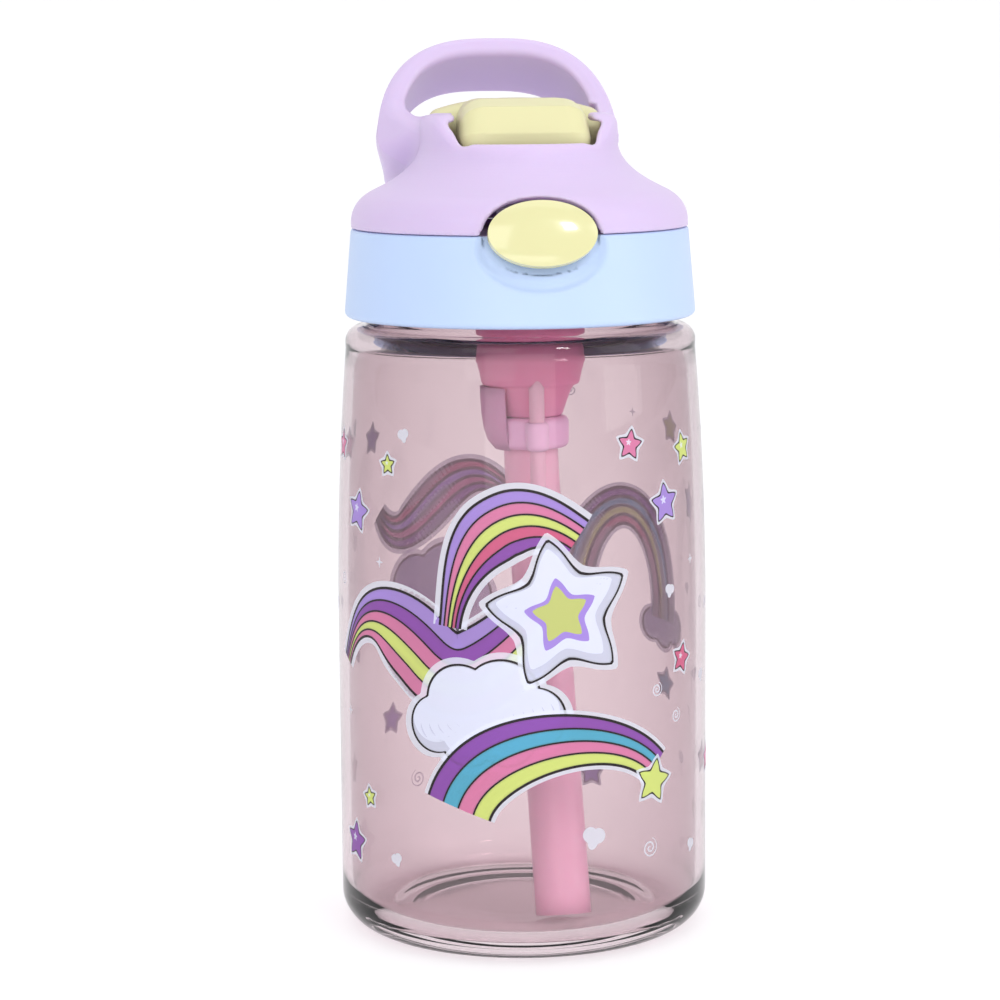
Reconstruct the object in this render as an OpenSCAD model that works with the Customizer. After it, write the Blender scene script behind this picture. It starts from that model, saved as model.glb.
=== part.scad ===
// Kids water bottle with a screw lid, a flip-up spout and a carrying loop.
// Millimetres, +Z up, front at -Y, origin at the centre of the base.

/* [Bottle] */
// Largest outer radius, a true cylinder over the lower half
body_r = 37; // [34:0.5:40]
// Wall thickness of the clear tub
wall = 2; // [1.6:0.1:2.6]
// Thickness of the moulded floor
floor_t = 3.9; // [3:0.1:4.5]
// Radius of the lower corner
foot_fillet = 7; // [5:0.5:9]
// Height where the shoulder ends and the neck starts
shoulder_z = 121; // [120:0.5:121.5]

/* [Neck and thread] */
// Outer radius of the neck between the thread turns
neck_r = 30.2; // [29.8:0.1:30.3]
// Inner radius of the mouth
mouth_r = 27.8; // [26.5:0.1:28.2]
// Height of the rim
rim_z = 136.4; // [136:0.1:136.5]
// Rise of the lid for one full turn
lead = 4.5; // [4:0.1:5]

/* [Collar] */
// Lower edge of the blue collar
collar_z = 122.4; // [122:0.1:123]
// Upper edge of the collar, where the dome starts
seam_z = 139.8; // [139.5:0.1:140]
// Outer radius at the lower edge
collar_r = 34.7; // [34:0.1:35]

/* [Dome and loop] */
// Radius of the dome at the seam
dome_r = 33.3; // [33:0.1:33.6]
// Radius of the crown round the spout
crown_r = 19.4; // [19:0.1:19.8]
// Top of the crown's cheeks
crown_z = 162.5; // [162:0.1:163]
// Half width of the carrying loop
loop_half_w = 25; // [24:0.5:26]
// Height of the loop along its own lean
loop_h = 29.1; // [28:0.1:30]
// Width of the loop's band
band_w = 17.4; // [15:0.2:18]
// Thickness of the loop's band
band_t = 3.9; // [3.4:0.1:4.2]

/* [Spout] */
// Height of the hinge pin
pin_z = 157; // [156.8:0.1:157.2]
// Distance of the hinge pin behind the bottle's axis
pin_y = 7.2; // [7:0.1:7.4]
// Radius of the hinge pin
pin_r = 1.5; // [1.4:0.1:1.6]
// Half width of the yellow block
block_half_w = 13; // [12.5:0.1:13]
// Half width of the hinge hub
hub_half_w = 17; // [16:0.1:17]

/* [Button] */
// Full width of the oval key
button_w = 20.9; // [20:0.1:21]
// Full height of the oval key along its own face
button_h = 13.3; // [12.8:0.1:13.4]
// Travel of the key
button_travel = 1.6; // [1.2:0.1:1.6]

/* [Valve and straw] */
// Sideways place of the valve's axis
valve_x = 2; // [1.5:0.1:2]
// Outer radius of the straw
straw_r = 5.4; // [5:0.1:5.4]
// Bore radius of the straw
straw_bore = 4.2; // [3.8:0.1:4.4]
// Foot of the straw above the base
straw_foot_z = 6; // [5.9:0.1:8]

/* [Hidden] */
$fn = 96;
gap = 0.3;
lilac = "#e0cdf0";
blue = "#cbdafc";
yellow = "#edeabe";
pink = "#f0a5c8";
pale = "#e4b4dc";
tint = [0.80, 0.70, 0.74, 0.45];

deck_z = rim_z + 1.5;
thread_h = 1.2;
thread_top_z = 132.4;
crown_wall = 2;
tilt = 20;
key_t = 2.2;
key_y = -34.1;
key_z = 140.6;
lean = 28;
loop_at = [-2.2, 13.6, 147];
post_x = 10.4;
post_w = 2.6;
ring_z = 96;
ring_top_z = 102.5;
cone_z = 109.5;
straw_tip = [4.9, -21.8];
bend_z = 93.5;
// Angle of the thread's first end, in degrees
thread_start = 17;
// Rise of the key's face over its edge plane, and the ball that domes it
key_crown = 1;
key_ball_r = 60;
// Hinge hub, the block's rounded nose and how far the block's skirt hangs below the pin
hub_r = 8;
nose_r = 4.5;
skirt_drop = 3.6;
// Lip of the crown in front of the spout
lip_y = 14.2;
lip_z = 156.6;
// Radial play of the hinge pin in its bores
pin_play = 0.04;
// Outer radius of the valve's upper part
boot_r = 10.8;

// Points of a cubic curve through four control points
function cubic(a, b, c, d, n) =
    [for (i = [0 : n]) let (t = i / n, s = 1 - t)
        s * s * s * a + 3 * s * s * t * b + 3 * s * t * t * c + t * t * t * d];

// Points of a circular arc in the profile plane
function arc(cx, cz, r, from, to, n = 10) =
    [for (i = [0 : n]) let (a = from + (to - from) * i / n) [cx + r * cos(a), cz + r * sin(a)]];

// Profile of the dome, moved inward by d
function dome_line(d) = concat(
    [[dome_r - d, seam_z]],
    cubic([dome_r - d, 142], [dome_r - 0.3 - d, 145.3 - d], [31.5 - d, 146.2 - d], [29 - d * 0.8, 147 - d], 8),
    cubic([29 - d * 0.8, 147 - d], [25 - d, 148.9 - d], [19.9 - d, 152.2 - d], [crown_r - d, 156.5 - d], 12),
    arc(crown_r - 3, crown_z - 3, 3 - d, 0, 90, 6),
    [[0, crown_z - d]]);

// Outline of the oval key
function oval(w, h, n = 48) =
    [for (i = [0 : n - 1]) let (a = 360 * i / n, c = cos(a), s = sin(a))
        [sign(c) * w / 2 * pow(abs(c), 0.85), sign(s) * h / 2 * pow(abs(s), 0.85)]];

// Upper half of a rounded loop
function loop_line(w, h, n = 40) =
    [for (i = [0 : n]) let (a = 180 * i / n, c = cos(a), s = sin(a))
        [sign(c) * w * pow(abs(c), 2 / 2.6), h * pow(max(s, 0), 2 / 2.6)]];

// One ridge of a screw thread: base on radius r, tip at r + h, with a trapezoid section
module ridge(r, h, z, turns, side) {
    steps = round(48 * turns);
    base = 0.75;
    tip = 0.4;
    ring = [[0, -base], [0, base], [1, tip], [1, -tip]];
    points = [for (i = [0 : steps], p = ring)
        let (a = thread_start + 360 * turns * i / steps,
             fade = min(1, i / 5, (steps - i) / 5) * 0.85 + 0.15,
             q = r + side * (p[0] * h * fade - (1 - p[0]) * 0.3))
        [q * cos(a), q * sin(a), z + lead * turns * i / steps + p[1]]];
    flip = side < 0;
    faces = concat(
        [for (i = [0 : steps - 1], k = [0 : 3]) let (m = (k + 1) % 4)
            flip ? [4 * i + k, 4 * i + m, 4 * i + 4 + m, 4 * i + 4 + k]
                 : [4 * i + k, 4 * i + 4 + k, 4 * i + 4 + m, 4 * i + m]],
        [flip ? [3, 2, 1, 0] : [0, 1, 2, 3]],
        [flip ? [4 * steps, 4 * steps + 1, 4 * steps + 2, 4 * steps + 3]
              : [4 * steps + 3, 4 * steps + 2, 4 * steps + 1, 4 * steps]]);
    polyhedron(points, faces, convexity = 6);
}

module tube(r, bore, h) {
    difference() {
        cylinder(r = r, h = h);
        translate([0, 0, -1]) cylinder(r = bore, h = h + 2);
    }
}

// Places its children on the tilted face of the key, with +Z along the face's outward normal
module on_key() {
    translate([0, key_y, key_z]) rotate([90 - tilt, 0, 0]) children();
}

// Turns its children so that +Z runs along +X through the hinge pin
module on_pin() {
    translate([0, pin_y, pin_z]) rotate([0, 90, 0]) children();
}

module bottle_body() {
    inside_r = body_r - wall;
    color(tint) {
        difference() {
            rotate_extrude($fn = 128) polygon(concat(
                [[0, 2], [22, 2], [25.5, 0], [body_r - foot_fillet, 0]],
                arc(body_r - foot_fillet, foot_fillet, foot_fillet, -80, 0),
                cubic([body_r, 70], [body_r, 90], [36.1, 108], [34.9, 116.4], 10),
                arc(31.6, 117.6, 3.2, 0, 80, 6),
                [[neck_r, shoulder_z], [neck_r, rim_z - 0.4], [neck_r - 0.4, rim_z], [0, rim_z]]));
            rotate_extrude($fn = 128) polygon(concat(
                [[0, floor_t], [22, floor_t], [25.5, floor_t + 0.4], [28, floor_t]],
                arc(inside_r - 5, floor_t + 5, 5, -90, 0),
                cubic([inside_r, 70], [inside_r, 90], [34.1, 108], [32.6, 114.5], 10),
                arc(28.6, 115.4, 3.8, 0, 70, 6),
                [[mouth_r, shoulder_z], [mouth_r, rim_z + 1], [0, rim_z + 1]]));
        }
        ridge(neck_r, thread_h, 124.4, 1.5, 1);
    }
}

module collar() {
    color(blue) {
        difference() {
            rotate_extrude($fn = 128) polygon([
                [31.7, collar_z + 0.6], [32.3, collar_z], [collar_r - 1.2, collar_z],
                [collar_r - 0.35, collar_z + 0.35], [collar_r, collar_z + 1.2], [dome_r + 0.1, seam_z - 0.6],
                [dome_r - 0.4, seam_z], [31.7, seam_z], [31.7, rim_z + 0.2], [30.6, rim_z], [30.6, thread_top_z + 0.9],
                [31.7, thread_top_z]]);
            // dish round the key
            on_key() translate([0, -1.6, -key_t - button_travel])
                linear_extrude(12) polygon(oval(button_w + 4, button_h + 4));
            // flat way in for the slider
            translate([-7, -40, seam_z - 0.4]) cube([14, 12, 2]);
        }
        ridge(31.7, thread_h, 126.1, 1.2, -1);
    }
}

// Cuts the spout's slot, the saddle for the hub and the sloping cheeks
module crown_cuts() {
    translate([-block_half_w - gap, -lip_y, 141]) cube([2 * (block_half_w + gap), lip_y + pin_y, 30]);
    saddle_r = hub_r + 0.4;
    translate([-hub_half_w - gap, pin_y - saddle_r, pin_z]) cube([2 * (hub_half_w + gap), 2 * saddle_r, 30]);
    on_pin() translate([0, 0, -hub_half_w - gap]) cylinder(r = saddle_r, h = 2 * (hub_half_w + gap));
    translate([-30, 0, 0]) rotate([90, 0, 90]) linear_extrude(60)
        polygon(concat([[-40, lip_z], [-lip_y, lip_z]],
                       cubic([-lip_y, lip_z], [-10, lip_z + 0.2], [-9, crown_z + 0.2], [-4, crown_z + 0.2], 10),
                       [[-4, 180], [-40, 180]]));
}

module dome_cover() {
    color(lilac) difference() {
        rotate_extrude($fn = 128) polygon(dome_line(0));
        translate([0, 0, -0.01]) rotate_extrude($fn = 128) polygon(dome_line(crown_wall));
        crown_cuts();
        // notch for the key
        for (rise = [0, button_travel * sin(tilt)])
            on_key() translate([0, rise, -12]) linear_extrude(30) polygon(oval(button_w + 0.8, button_h + 0.8));
        translate([-button_w / 2 - 0.4, -40, 130]) cube([button_w + 0.8, 12, key_z - 130 + 0.6]);
    }
}

module carry_handle() {
    color(lilac) difference() {
        translate(loop_at) rotate([-lean, 0, 0]) translate([0, band_w / 2, 0]) rotate([90, 0, 0])
            linear_extrude(band_w) difference() {
                union() {
                    polygon(loop_line(loop_half_w, loop_h));
                    // feet that run down the flanks
                    for (s = [-1, 1]) polygon([[s * loop_half_w, 0.5], [s * (loop_half_w + 1.2), -9],
                                               [s * (loop_half_w - band_t), -9], [s * (loop_half_w - band_t), 0.5]]);
                }
                polygon(concat(loop_line(loop_half_w - band_t, loop_h - band_t),
                               [[-loop_half_w + band_t, -10], [loop_half_w - band_t, -10]]));
            }
        // flank of the dome, so that the feet stand on it
        rotate_extrude($fn = 128) polygon(concat([[0, 120], [60, 120], [60, 143.4], [dome_r, 143.4]],
                                                 [for (p = dome_line(0)) if (p[1] > 142.5) p]));
        // room inside the dome
        cylinder(r = 25.3, h = 151.6);
    }
}

module push_button() {
    color(yellow) difference() {
        intersection() {
            on_key() translate([0, 0, -key_t]) linear_extrude(6) polygon(oval(button_w, button_h));
            on_key() translate([0, 0, key_crown - key_ball_r]) sphere(r = key_ball_r, $fn = 128);
        }
        // seat of the slider's nose
        translate([-4.1, -32.3, 140.3]) cube([8.2, 6, 4.2]);
    }
}

module latch_slider() {
    color(lilac) difference() {
        union() {
            // nose in the key
            translate([-4, -32.2, 140.4]) cube([8, 5, 4]);
            // bar over the deck
            translate([-4, -28, 140.4]) cube([8, 18.5, 2.6]);
            // upright arm with the hook
            translate([-4, -11.4, 142.9]) cube([8, 1.4, 13]);
            translate([-4, -11.7, 154.7]) cube([8, 1, 1.2]);
        }
        // seat of the spring
        translate([0, -9, 141.7]) rotate([90, 0, 0]) cylinder(r = 0.9, h = 1);
    }
}

module button_guide() {
    color(lilac) difference() {
        translate([-7.5, -24, seam_z]) cube([15, 5, 5]);
        translate([-4.1, -26, seam_z - 1]) cube([8.2, 8, 1 + 3.4]);
    }
}

// Coil along +Z as a helical tube
module coil(r, wire, pitch, turns, sides = 8) {
    steps = round(20 * turns);
    points = [for (i = [0 : steps], k = [0 : sides - 1])
        let (a = 360 * turns * i / steps, b = 360 * k / sides, q = r + wire * cos(b))
        [q * cos(a), q * sin(a), pitch * turns * i / steps + wire * sin(b)]];
    faces = concat(
        [for (i = [0 : steps - 1], k = [0 : sides - 1]) let (m = (k + 1) % sides)
            [sides * i + k, sides * i + m, sides * i + sides + m, sides * i + sides + k]],
        [[for (k = [sides - 1 : -1 : 0]) k]],
        [[for (k = [0 : sides - 1]) sides * steps + k]]);
    polyhedron(points, faces, convexity = 8);
}

module button_spring() {
    color("silver") translate([0, -9.2, 142.4]) rotate([-90, 0, 0]) coil(1.7, 0.3, 1.15, 4.6);
}

module spout_pin() {
    color("silver") on_pin() translate([0, 0, -14.4]) cylinder(r = pin_r, h = 28.8);
}

module spout_spring() {
    color("silver") on_pin() translate([0, 0, -2.6]) coil(2.6, 0.35, 0.9, 5.6);
}

module deck_plate() {
    color(lilac) difference() {
        union() {
            translate([0, 0, deck_z]) cylinder(r = 31.5, h = seam_z - deck_z, $fn = 128);
            // bearing posts
            for (s = [-1, 1]) translate([s * post_x - post_w / 2, 0, 0]) {
                translate([0, pin_y - 4, seam_z - 0.5]) cube([post_w, 8, pin_z - seam_z + 0.5]);
                translate([0, pin_y, pin_z]) rotate([0, 90, 0]) cylinder(r = 4, h = post_w);
            }
            // stop behind the button spring
            translate([-4, -3.4, seam_z - 0.5]) cube([8, 2, 5.2]);
            // seat of the valve
            translate([valve_x, 0, deck_z - 3]) tube(12.6, 10.9, 4);
        }
        on_pin() translate([0, 0, -20]) cylinder(r = pin_r + pin_play, h = 40);
        translate([valve_x, 0, deck_z - 5]) cylinder(r = 5.2, h = 10);
        // vent hole
        translate([-15, 4, deck_z - 1]) cylinder(r = 1, h = 5);
        // low way for the key at full press
        translate([-11, -34, deck_z - 1]) cube([22, 4.2, 4]);
    }
}

module lid_gasket() {
    color("white") translate([0, 0, rim_z]) tube(30.3, mouth_r, deck_z - rim_z);
}

// Silhouette of the spout from the side, with the pin at the origin and the front at -X
module spout_side() {
    nose = -(pin_y + 13.6);
    polygon(concat([[nose, -skirt_drop], [nose, 3.5]],
                   arc(nose + nose_r, hub_r - nose_r, nose_r, 180, 90, 6),
                   arc(0, 0, hub_r, 90, 0, 8),
                   [[0, -skirt_drop]]));
}

module spout_shield() {
    color(yellow) difference() {
        translate([-block_half_w, pin_y, pin_z]) rotate([90, 0, 90]) linear_extrude(2 * block_half_w)
            intersection() { spout_side(); translate([-40, -skirt_drop]) square([32, 20]); }
        // hollow for the mouthpiece, open below
        translate([-block_half_w + 1.8, pin_y, pin_z]) rotate([90, 0, 90]) linear_extrude(2 * block_half_w - 3.6)
            polygon([[-19.2, -6], [-19.2, 3], [-16.4, 6.2], [0, 6.2], [0, -6]]);
    }
    // catch for the hook
    color(yellow) translate([-3.8, -12.4, pin_z - skirt_drop]) cube([7.6, 0.5, 1]);
}

module spout_yoke() {
    color(yellow) difference() {
        union() {
            on_pin() translate([0, 0, -hub_half_w]) cylinder(r = hub_r, h = 2 * hub_half_w, $fn = 128);
            translate([-block_half_w + 1.9, pin_y - 10.5, pin_z + 4.2]) cube([2 * block_half_w - 3.8, 6, 1.9]);
        }
        on_pin() translate([0, 0, -20]) cylinder(r = pin_r + pin_play, h = 40);
        // face behind the block
        translate([-20, pin_y - 20, pin_z - 10]) cube([40, 12 - 0.01, 14.1]);
        // rooms for the posts, swept through the flip
        for (s = [-1, 1]) on_pin() translate([0, 0, s * post_x - post_w / 2 - 0.3]) {
            cylinder(r = 4.4, h = post_w + 0.6);
            linear_extrude(post_w + 0.6) polygon([[-4.4, 12], [-4.4, 0], [0, -4.4], [12, -4.4], [12, 12]]);
        }
        // room for the torsion spring
        on_pin() translate([0, 0, -3.4]) cylinder(r = 3.4, h = 6.8);
        // way for the mouthpiece's root
        translate([-6.1, pin_y - 12, pin_z - 12]) cube([12.2, 9, 15.7]);
    }
}

module spout_mouthpiece() {
    color(pink) translate([0, pin_y - 3.4, pin_z - 0.9]) difference() {
        union() {
            rotate([90, 0, 0]) cylinder(r = 4.2, h = 11.8);
            translate([-6, -4.4, -3.4]) cube([12, 4.4, 5.6]);
            translate([0, -9.8, 0]) rotate([90, 0, 0]) cylinder(r = 4.8, h = 2);
        }
        translate([0, 1, 0]) rotate([90, 0, 0]) cylinder(r = 2.6, h = 20);
    }
}

// Stepped silicone cone that holds the straw
module valve_boot() {
    color(pink) translate([valve_x, 0, 0]) difference() {
        rotate_extrude() polygon([
            [0, ring_top_z], [6.2, ring_top_z], [8.6, cone_z - 0.6], [9.4, cone_z - 0.3], [9.8, cone_z + 0.8],
            [10.1, cone_z + 3], [boot_r, cone_z + 6.2], [boot_r, deck_z], [0, deck_z]]);
        translate([0, 0, ring_top_z - 1]) cylinder(r = straw_r + 0.05, h = 10);
        translate([0, 0, ring_top_z + 8]) cylinder(r = 3.4, h = 12);
        translate([0, 0, cone_z + 8]) cylinder(r = 8.6, h = 40);
        vent_line() translate([0, 0, -0.1]) cylinder(r = 1.53, h = 12);
    }
}

module valve_sleeve() {
    color([0.72, 0.50, 0.68, 0.5]) translate([valve_x, 0, 0]) rotate([0, 0, 112])
        rotate_extrude(angle = 136) polygon(concat(
            [[7.8, ring_z - 1], [8.7, ring_z - 1]], arc(8, ring_z + 1.2, 1.6, -50, 0, 5),
            [[9.4, cone_z - 0.6], [8.7, cone_z - 0.6], [8.7, ring_z + 1.5]]));
}

module straw_ring() {
    color(pale) translate([valve_x, 0, ring_z]) difference() {
        cylinder(r = 7.6, h = ring_top_z - ring_z);
        translate([0, 0, -1]) cylinder(r = straw_r + 0.05, h = 20);
    }
}

// Straw: upright root in the ring and a slanted length down to the floor
module straw() {
    at = [valve_x, 0, bend_z];
    run = [straw_tip[0] - at[0], straw_tip[1] - at[1], straw_foot_z - at[2]];
    side = sqrt(run[0] * run[0] + run[1] * run[1]);
    reach = norm(run);
    swing = atan2(run[1], run[0]);
    down = 180 - atan2(side, -run[2]);
    color(pink) difference() {
        union() {
            translate(at) cylinder(r = straw_r, h = ring_top_z + 8 - bend_z);
            translate(at) sphere(r = straw_r);
            translate(at) rotate([0, down, swing]) cylinder(r = straw_r, h = reach);
        }
        translate(at) cylinder(r = straw_bore, h = 40);
        translate(at) sphere(r = straw_bore);
        translate(at) rotate([0, down, swing]) cylinder(r = straw_bore, h = reach + 1);
        // drinking notch at the foot
        translate(at) rotate([0, down, swing]) translate([-12, 0, reach + 1.5]) rotate([0, 90, 0])
            cylinder(r = 4, h = 24);
    }
}

// Runs +Z down the vent tube from its seat in the cone
module vent_line() {
    translate([0, -8.3, cone_z + 2.4]) rotate([180 - atan2(2.2, 26), 0, 0]) children();
}

module vent_tube() {
    color(pink) translate([valve_x, 0, 0]) vent_line() difference() {
        cylinder(r = 1.5, h = 26);
        translate([0, 0, -1]) cylinder(r = 0.9, h = 30);
    }
}

module vent_valve() {
    color("white") translate([-19, 6, seam_z]) {
        cylinder(r = 4.2, h = 1);
        cylinder(r = 1.6, h = 2.2);
    }
}

bottle_body();
collar();
dome_cover();
carry_handle();
push_button();
spout_shield();
spout_yoke();
spout_mouthpiece();
valve_boot();
valve_sleeve();
straw_ring();
straw();
vent_tube();
deck_plate();
lid_gasket();
spout_pin();
spout_spring();
latch_slider();
button_spring();
button_guide();
vent_valve();
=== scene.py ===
"""Looks of a kids water bottle with a screw lid, a flip-up spout and a carrying loop.

Lengths inside the classes are millimetres in the row's frame: +Z up, front at -Y, origin at
the centre of the base. They become metres only where a mesh is made.
"""

import logging
import math
from dataclasses import dataclass, field
from enum import Enum
from typing import Callable

import bpy
import numpy as np
from mathutils import Matrix, Vector


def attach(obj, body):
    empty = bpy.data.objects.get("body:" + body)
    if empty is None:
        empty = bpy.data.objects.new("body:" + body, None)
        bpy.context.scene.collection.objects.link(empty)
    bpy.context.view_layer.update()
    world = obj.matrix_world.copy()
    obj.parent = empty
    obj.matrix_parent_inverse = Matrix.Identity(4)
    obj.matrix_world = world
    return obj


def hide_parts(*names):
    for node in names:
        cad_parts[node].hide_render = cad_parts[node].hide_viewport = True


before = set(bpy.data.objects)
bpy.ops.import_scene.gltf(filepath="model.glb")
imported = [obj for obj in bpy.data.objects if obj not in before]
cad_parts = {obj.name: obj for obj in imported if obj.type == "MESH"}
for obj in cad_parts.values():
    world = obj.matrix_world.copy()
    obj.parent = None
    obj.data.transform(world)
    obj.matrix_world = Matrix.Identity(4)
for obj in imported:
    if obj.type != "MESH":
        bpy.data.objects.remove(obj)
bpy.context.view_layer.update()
MM = 0.001
TAU = 2 * math.pi
LOG = logging.getLogger("bottle")

Array = np.ndarray
Field = Callable[[Array, Array, Array], Array]


class Body(Enum):
    """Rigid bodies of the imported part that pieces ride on."""

    TUB = "bottle"
    GASKET = "gasket"
    LID = "lid"
    SPOUT = "spout"
    KEY = "button"


# ---------------------------------------------------------------- colours and nodes


def linear(hex_colour: str, alpha: float = 1.0) -> tuple[float, float, float, float]:
    """Turns an sRGB hex colour into the linear colour that a shader socket holds.

    Args:
        hex_colour: colour such as "#E0CDF0".
        alpha: fourth value of the result.

    Returns:
        Linear red, green, blue and the given alpha.
    """
    parts = [int(hex_colour[i : i + 2], 16) / 255 for i in (1, 3, 5)]
    red, green, blue = [p / 12.92 if p <= 0.04045 else ((p + 0.055) / 1.055) ** 2.4 for p in parts]
    return red, green, blue, alpha


def add_node(tree: bpy.types.NodeTree, kind: str, settings: dict | None = None, **inputs: object):
    """Adds a shader node, sets its properties and fills or links its inputs.

    Args:
        tree: the material's node tree.
        kind: the node's type, such as "ShaderNodeTexNoise".
        settings: attributes of the node itself.
        inputs: socket name with spaces as underscores, or i and the socket's number, to a value
            or to an output socket.

    Returns:
        The new node.
    """
    node = tree.nodes.new(kind)
    for key, value in (settings or {}).items():
        setattr(node, key, value)
    for key, value in inputs.items():
        numbered = key[0] == "i" and key[1:].isdigit()
        socket = node.inputs[int(key[1:]) if numbered else key.replace("_", " ")]
        if isinstance(value, bpy.types.NodeSocket):
            tree.links.new(value, socket)
        else:
            socket.default_value = value
    return node


def start_material(name: str, colour: str, alpha: float = 1.0) -> tuple:
    """Starts a material with an empty tree.

    Args:
        name: name of the finish.
        colour: sRGB hex colour that stands for it in a plain view.
        alpha: opacity in a plain view.

    Returns:
        The material, its node tree, and the socket that gives places on the piece itself.
    """
    material = bpy.data.materials.new(name)
    material.use_nodes = True
    material.diffuse_color = linear(colour, alpha)
    tree = material.node_tree
    tree.nodes.clear()
    return material, tree, add_node(tree, "ShaderNodeTexCoord").outputs["Object"]


def end_with_lamps_through(tree: bpy.types.NodeTree, shader: bpy.types.NodeSocket, colour: str) -> None:
    """Ends a tree so that the eye meets the shader, and lamps pass through it with a tint.

    Args:
        tree: the material's node tree.
        shader: output of the shader that the eye meets.
        colour: sRGB hex tint that a lamp's light takes at each face.
    """
    mix = add_node(
        tree,
        "ShaderNodeMixShader",
        i0=add_node(tree, "ShaderNodeLightPath").outputs["Is Shadow Ray"],
        i1=shader,
        i2=add_node(tree, "ShaderNodeBsdfTransparent", Color=linear(colour)).outputs[0],
    )
    add_node(tree, "ShaderNodeOutputMaterial", Surface=mix.outputs[0])


@dataclass(frozen=True)
class Moulded:
    """Injection-moulded plastic: an even body colour, a fine skin texture and a soft gloss.

    Polypropylene comes out of a spark-eroded tool with a skin of grains about 0.3 mm wide,
    which spreads the highlight without hiding it, and the colour drifts a little over a few
    centimetres as the melt flows.
    """

    name: str
    colour: str
    drift: str
    roughness: float = 0.4
    grain_mm: float = 0.35
    grain_depth_mm: float = 0.01
    drift_mm: float = 22.0
    glow: float = 0.12
    glow_radius_mm: float = 1.2
    coat: float = 0.0
    ior: float = 1.49

    def make(self) -> bpy.types.Material:
        """Builds the material.

        Returns:
            The finished material.
        """
        material, tree, place = start_material(self.name, self.colour)
        cloud = add_node(tree, "ShaderNodeTexNoise", Vector=place, Scale=1 / (self.drift_mm * MM), Detail=2.0)
        mix = add_node(
            tree,
            "ShaderNodeMix",
            {"data_type": "RGBA"},
            i0=cloud.outputs["Fac"],
            i6=linear(self.colour),
            i7=linear(self.drift),
        )
        grain = add_node(tree, "ShaderNodeTexNoise", Vector=place, Scale=1 / (self.grain_mm * MM), Detail=3.0)
        spread = add_node(
            tree,
            "ShaderNodeMapRange",
            Value=grain.outputs["Fac"],
            To_Min=self.roughness * 0.9,
            To_Max=self.roughness * 1.1,
        )
        bump = add_node(
            tree,
            "ShaderNodeBump",
            Height=grain.outputs["Fac"],
            Distance=self.grain_depth_mm * MM,
            Strength=0.6,
        )
        shader = add_node(
            tree,
            "ShaderNodeBsdfPrincipled",
            Base_Color=mix.outputs[2],
            Roughness=spread.outputs[0],
            Normal=bump.outputs[0],
            IOR=self.ior,
            Subsurface_Weight=self.glow,
            Subsurface_Radius=(1.0, 0.7, 0.8),
            Subsurface_Scale=self.glow_radius_mm * MM,
            Coat_Weight=self.coat,
            Coat_Roughness=0.08,
        )
        add_node(tree, "ShaderNodeOutputMaterial", Surface=shader.outputs[0])
        return material


@dataclass(frozen=True)
class ClearTub:
    """Tinted clear copolyester, blow moulded with polished walls.

    The wall takes a purple-grey tint that doubles where the eye looks through both walls and
    deepens where it looks along the wall, and faint upright flow waves, some 14 mm apart, bend
    the highlights. Lamps reach what is inside with the tint of the faces they cross.
    """

    name: str = "tinted_copolyester"
    colour: str = "#EADDE0"
    edge_colour: str = "#987A86"
    face_colour: str = "#F5EFF2"
    edge_blend: float = 0.28
    roughness: float = 0.02
    wave_mm: float = 14.0
    wave_depth_mm: float = 0.05
    ior: float = 1.35

    def make(self) -> bpy.types.Material:
        """Builds the material.

        Returns:
            The finished material.
        """
        material, tree, place = start_material(self.name, self.colour, 0.4)
        stretch = add_node(tree, "ShaderNodeMapping", Vector=place, Scale=(1.0, 1.0, 0.25))
        wave = add_node(
            tree,
            "ShaderNodeTexNoise",
            Vector=stretch.outputs[0],
            Scale=1 / (self.wave_mm * MM),
            Detail=1.0,
        )
        bump = add_node(
            tree,
            "ShaderNodeBump",
            Height=wave.outputs["Fac"],
            Distance=self.wave_depth_mm * MM,
            Strength=0.5,
        )
        tint = add_node(
            tree,
            "ShaderNodeMix",
            {"data_type": "RGBA"},
            i0=add_node(tree, "ShaderNodeLayerWeight", Blend=self.edge_blend).outputs["Facing"],
            i6=linear(self.colour),
            i7=linear(self.edge_colour),
        )
        shader = add_node(
            tree,
            "ShaderNodeBsdfPrincipled",
            Base_Color=tint.outputs[2],
            Roughness=self.roughness,
            Normal=bump.outputs[0],
            IOR=self.ior,
            Specular_IOR_Level=0.3,
            Transmission_Weight=1.0,
        )
        end_with_lamps_through(tree, shader.outputs[0], self.face_colour)
        return material


@dataclass(frozen=True)
class Steel:
    """Drawn stainless wire and pin stock, with fine lines along the draw and a grey shine."""

    name: str = "drawn_stainless"
    colour: str = "#C9CBCF"
    line_mm: float = 0.2
    smoothest: float = 0.2
    roughest: float = 0.36

    def make(self) -> bpy.types.Material:
        """Builds the material.

        Returns:
            The finished material.
        """
        material, tree, place = start_material(self.name, self.colour)
        lines = add_node(tree, "ShaderNodeTexNoise", Vector=place, Scale=1 / (self.line_mm * MM), Detail=2.0)
        spread = add_node(
            tree,
            "ShaderNodeMapRange",
            Value=lines.outputs["Fac"],
            To_Min=self.smoothest,
            To_Max=self.roughest,
        )
        shader = add_node(
            tree,
            "ShaderNodeBsdfPrincipled",
            Base_Color=linear(self.colour),
            Metallic=1.0,
            Roughness=spread.outputs[0],
        )
        add_node(tree, "ShaderNodeOutputMaterial", Surface=shader.outputs[0])
        return material


def moulded(name: str, colour: str, drift: str, **settings: float) -> bpy.types.Material:
    """Field of a set of finishes that makes one moulded plastic when the set is made.

    Args:
        name: name of the finish.
        colour: sRGB hex body colour.
        drift: sRGB hex colour that it drifts to.
        settings: further fields of Moulded.

    Returns:
        The dataclass field.
    """
    return field(default_factory=lambda: Moulded(name, colour, drift, **settings).make())


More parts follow.
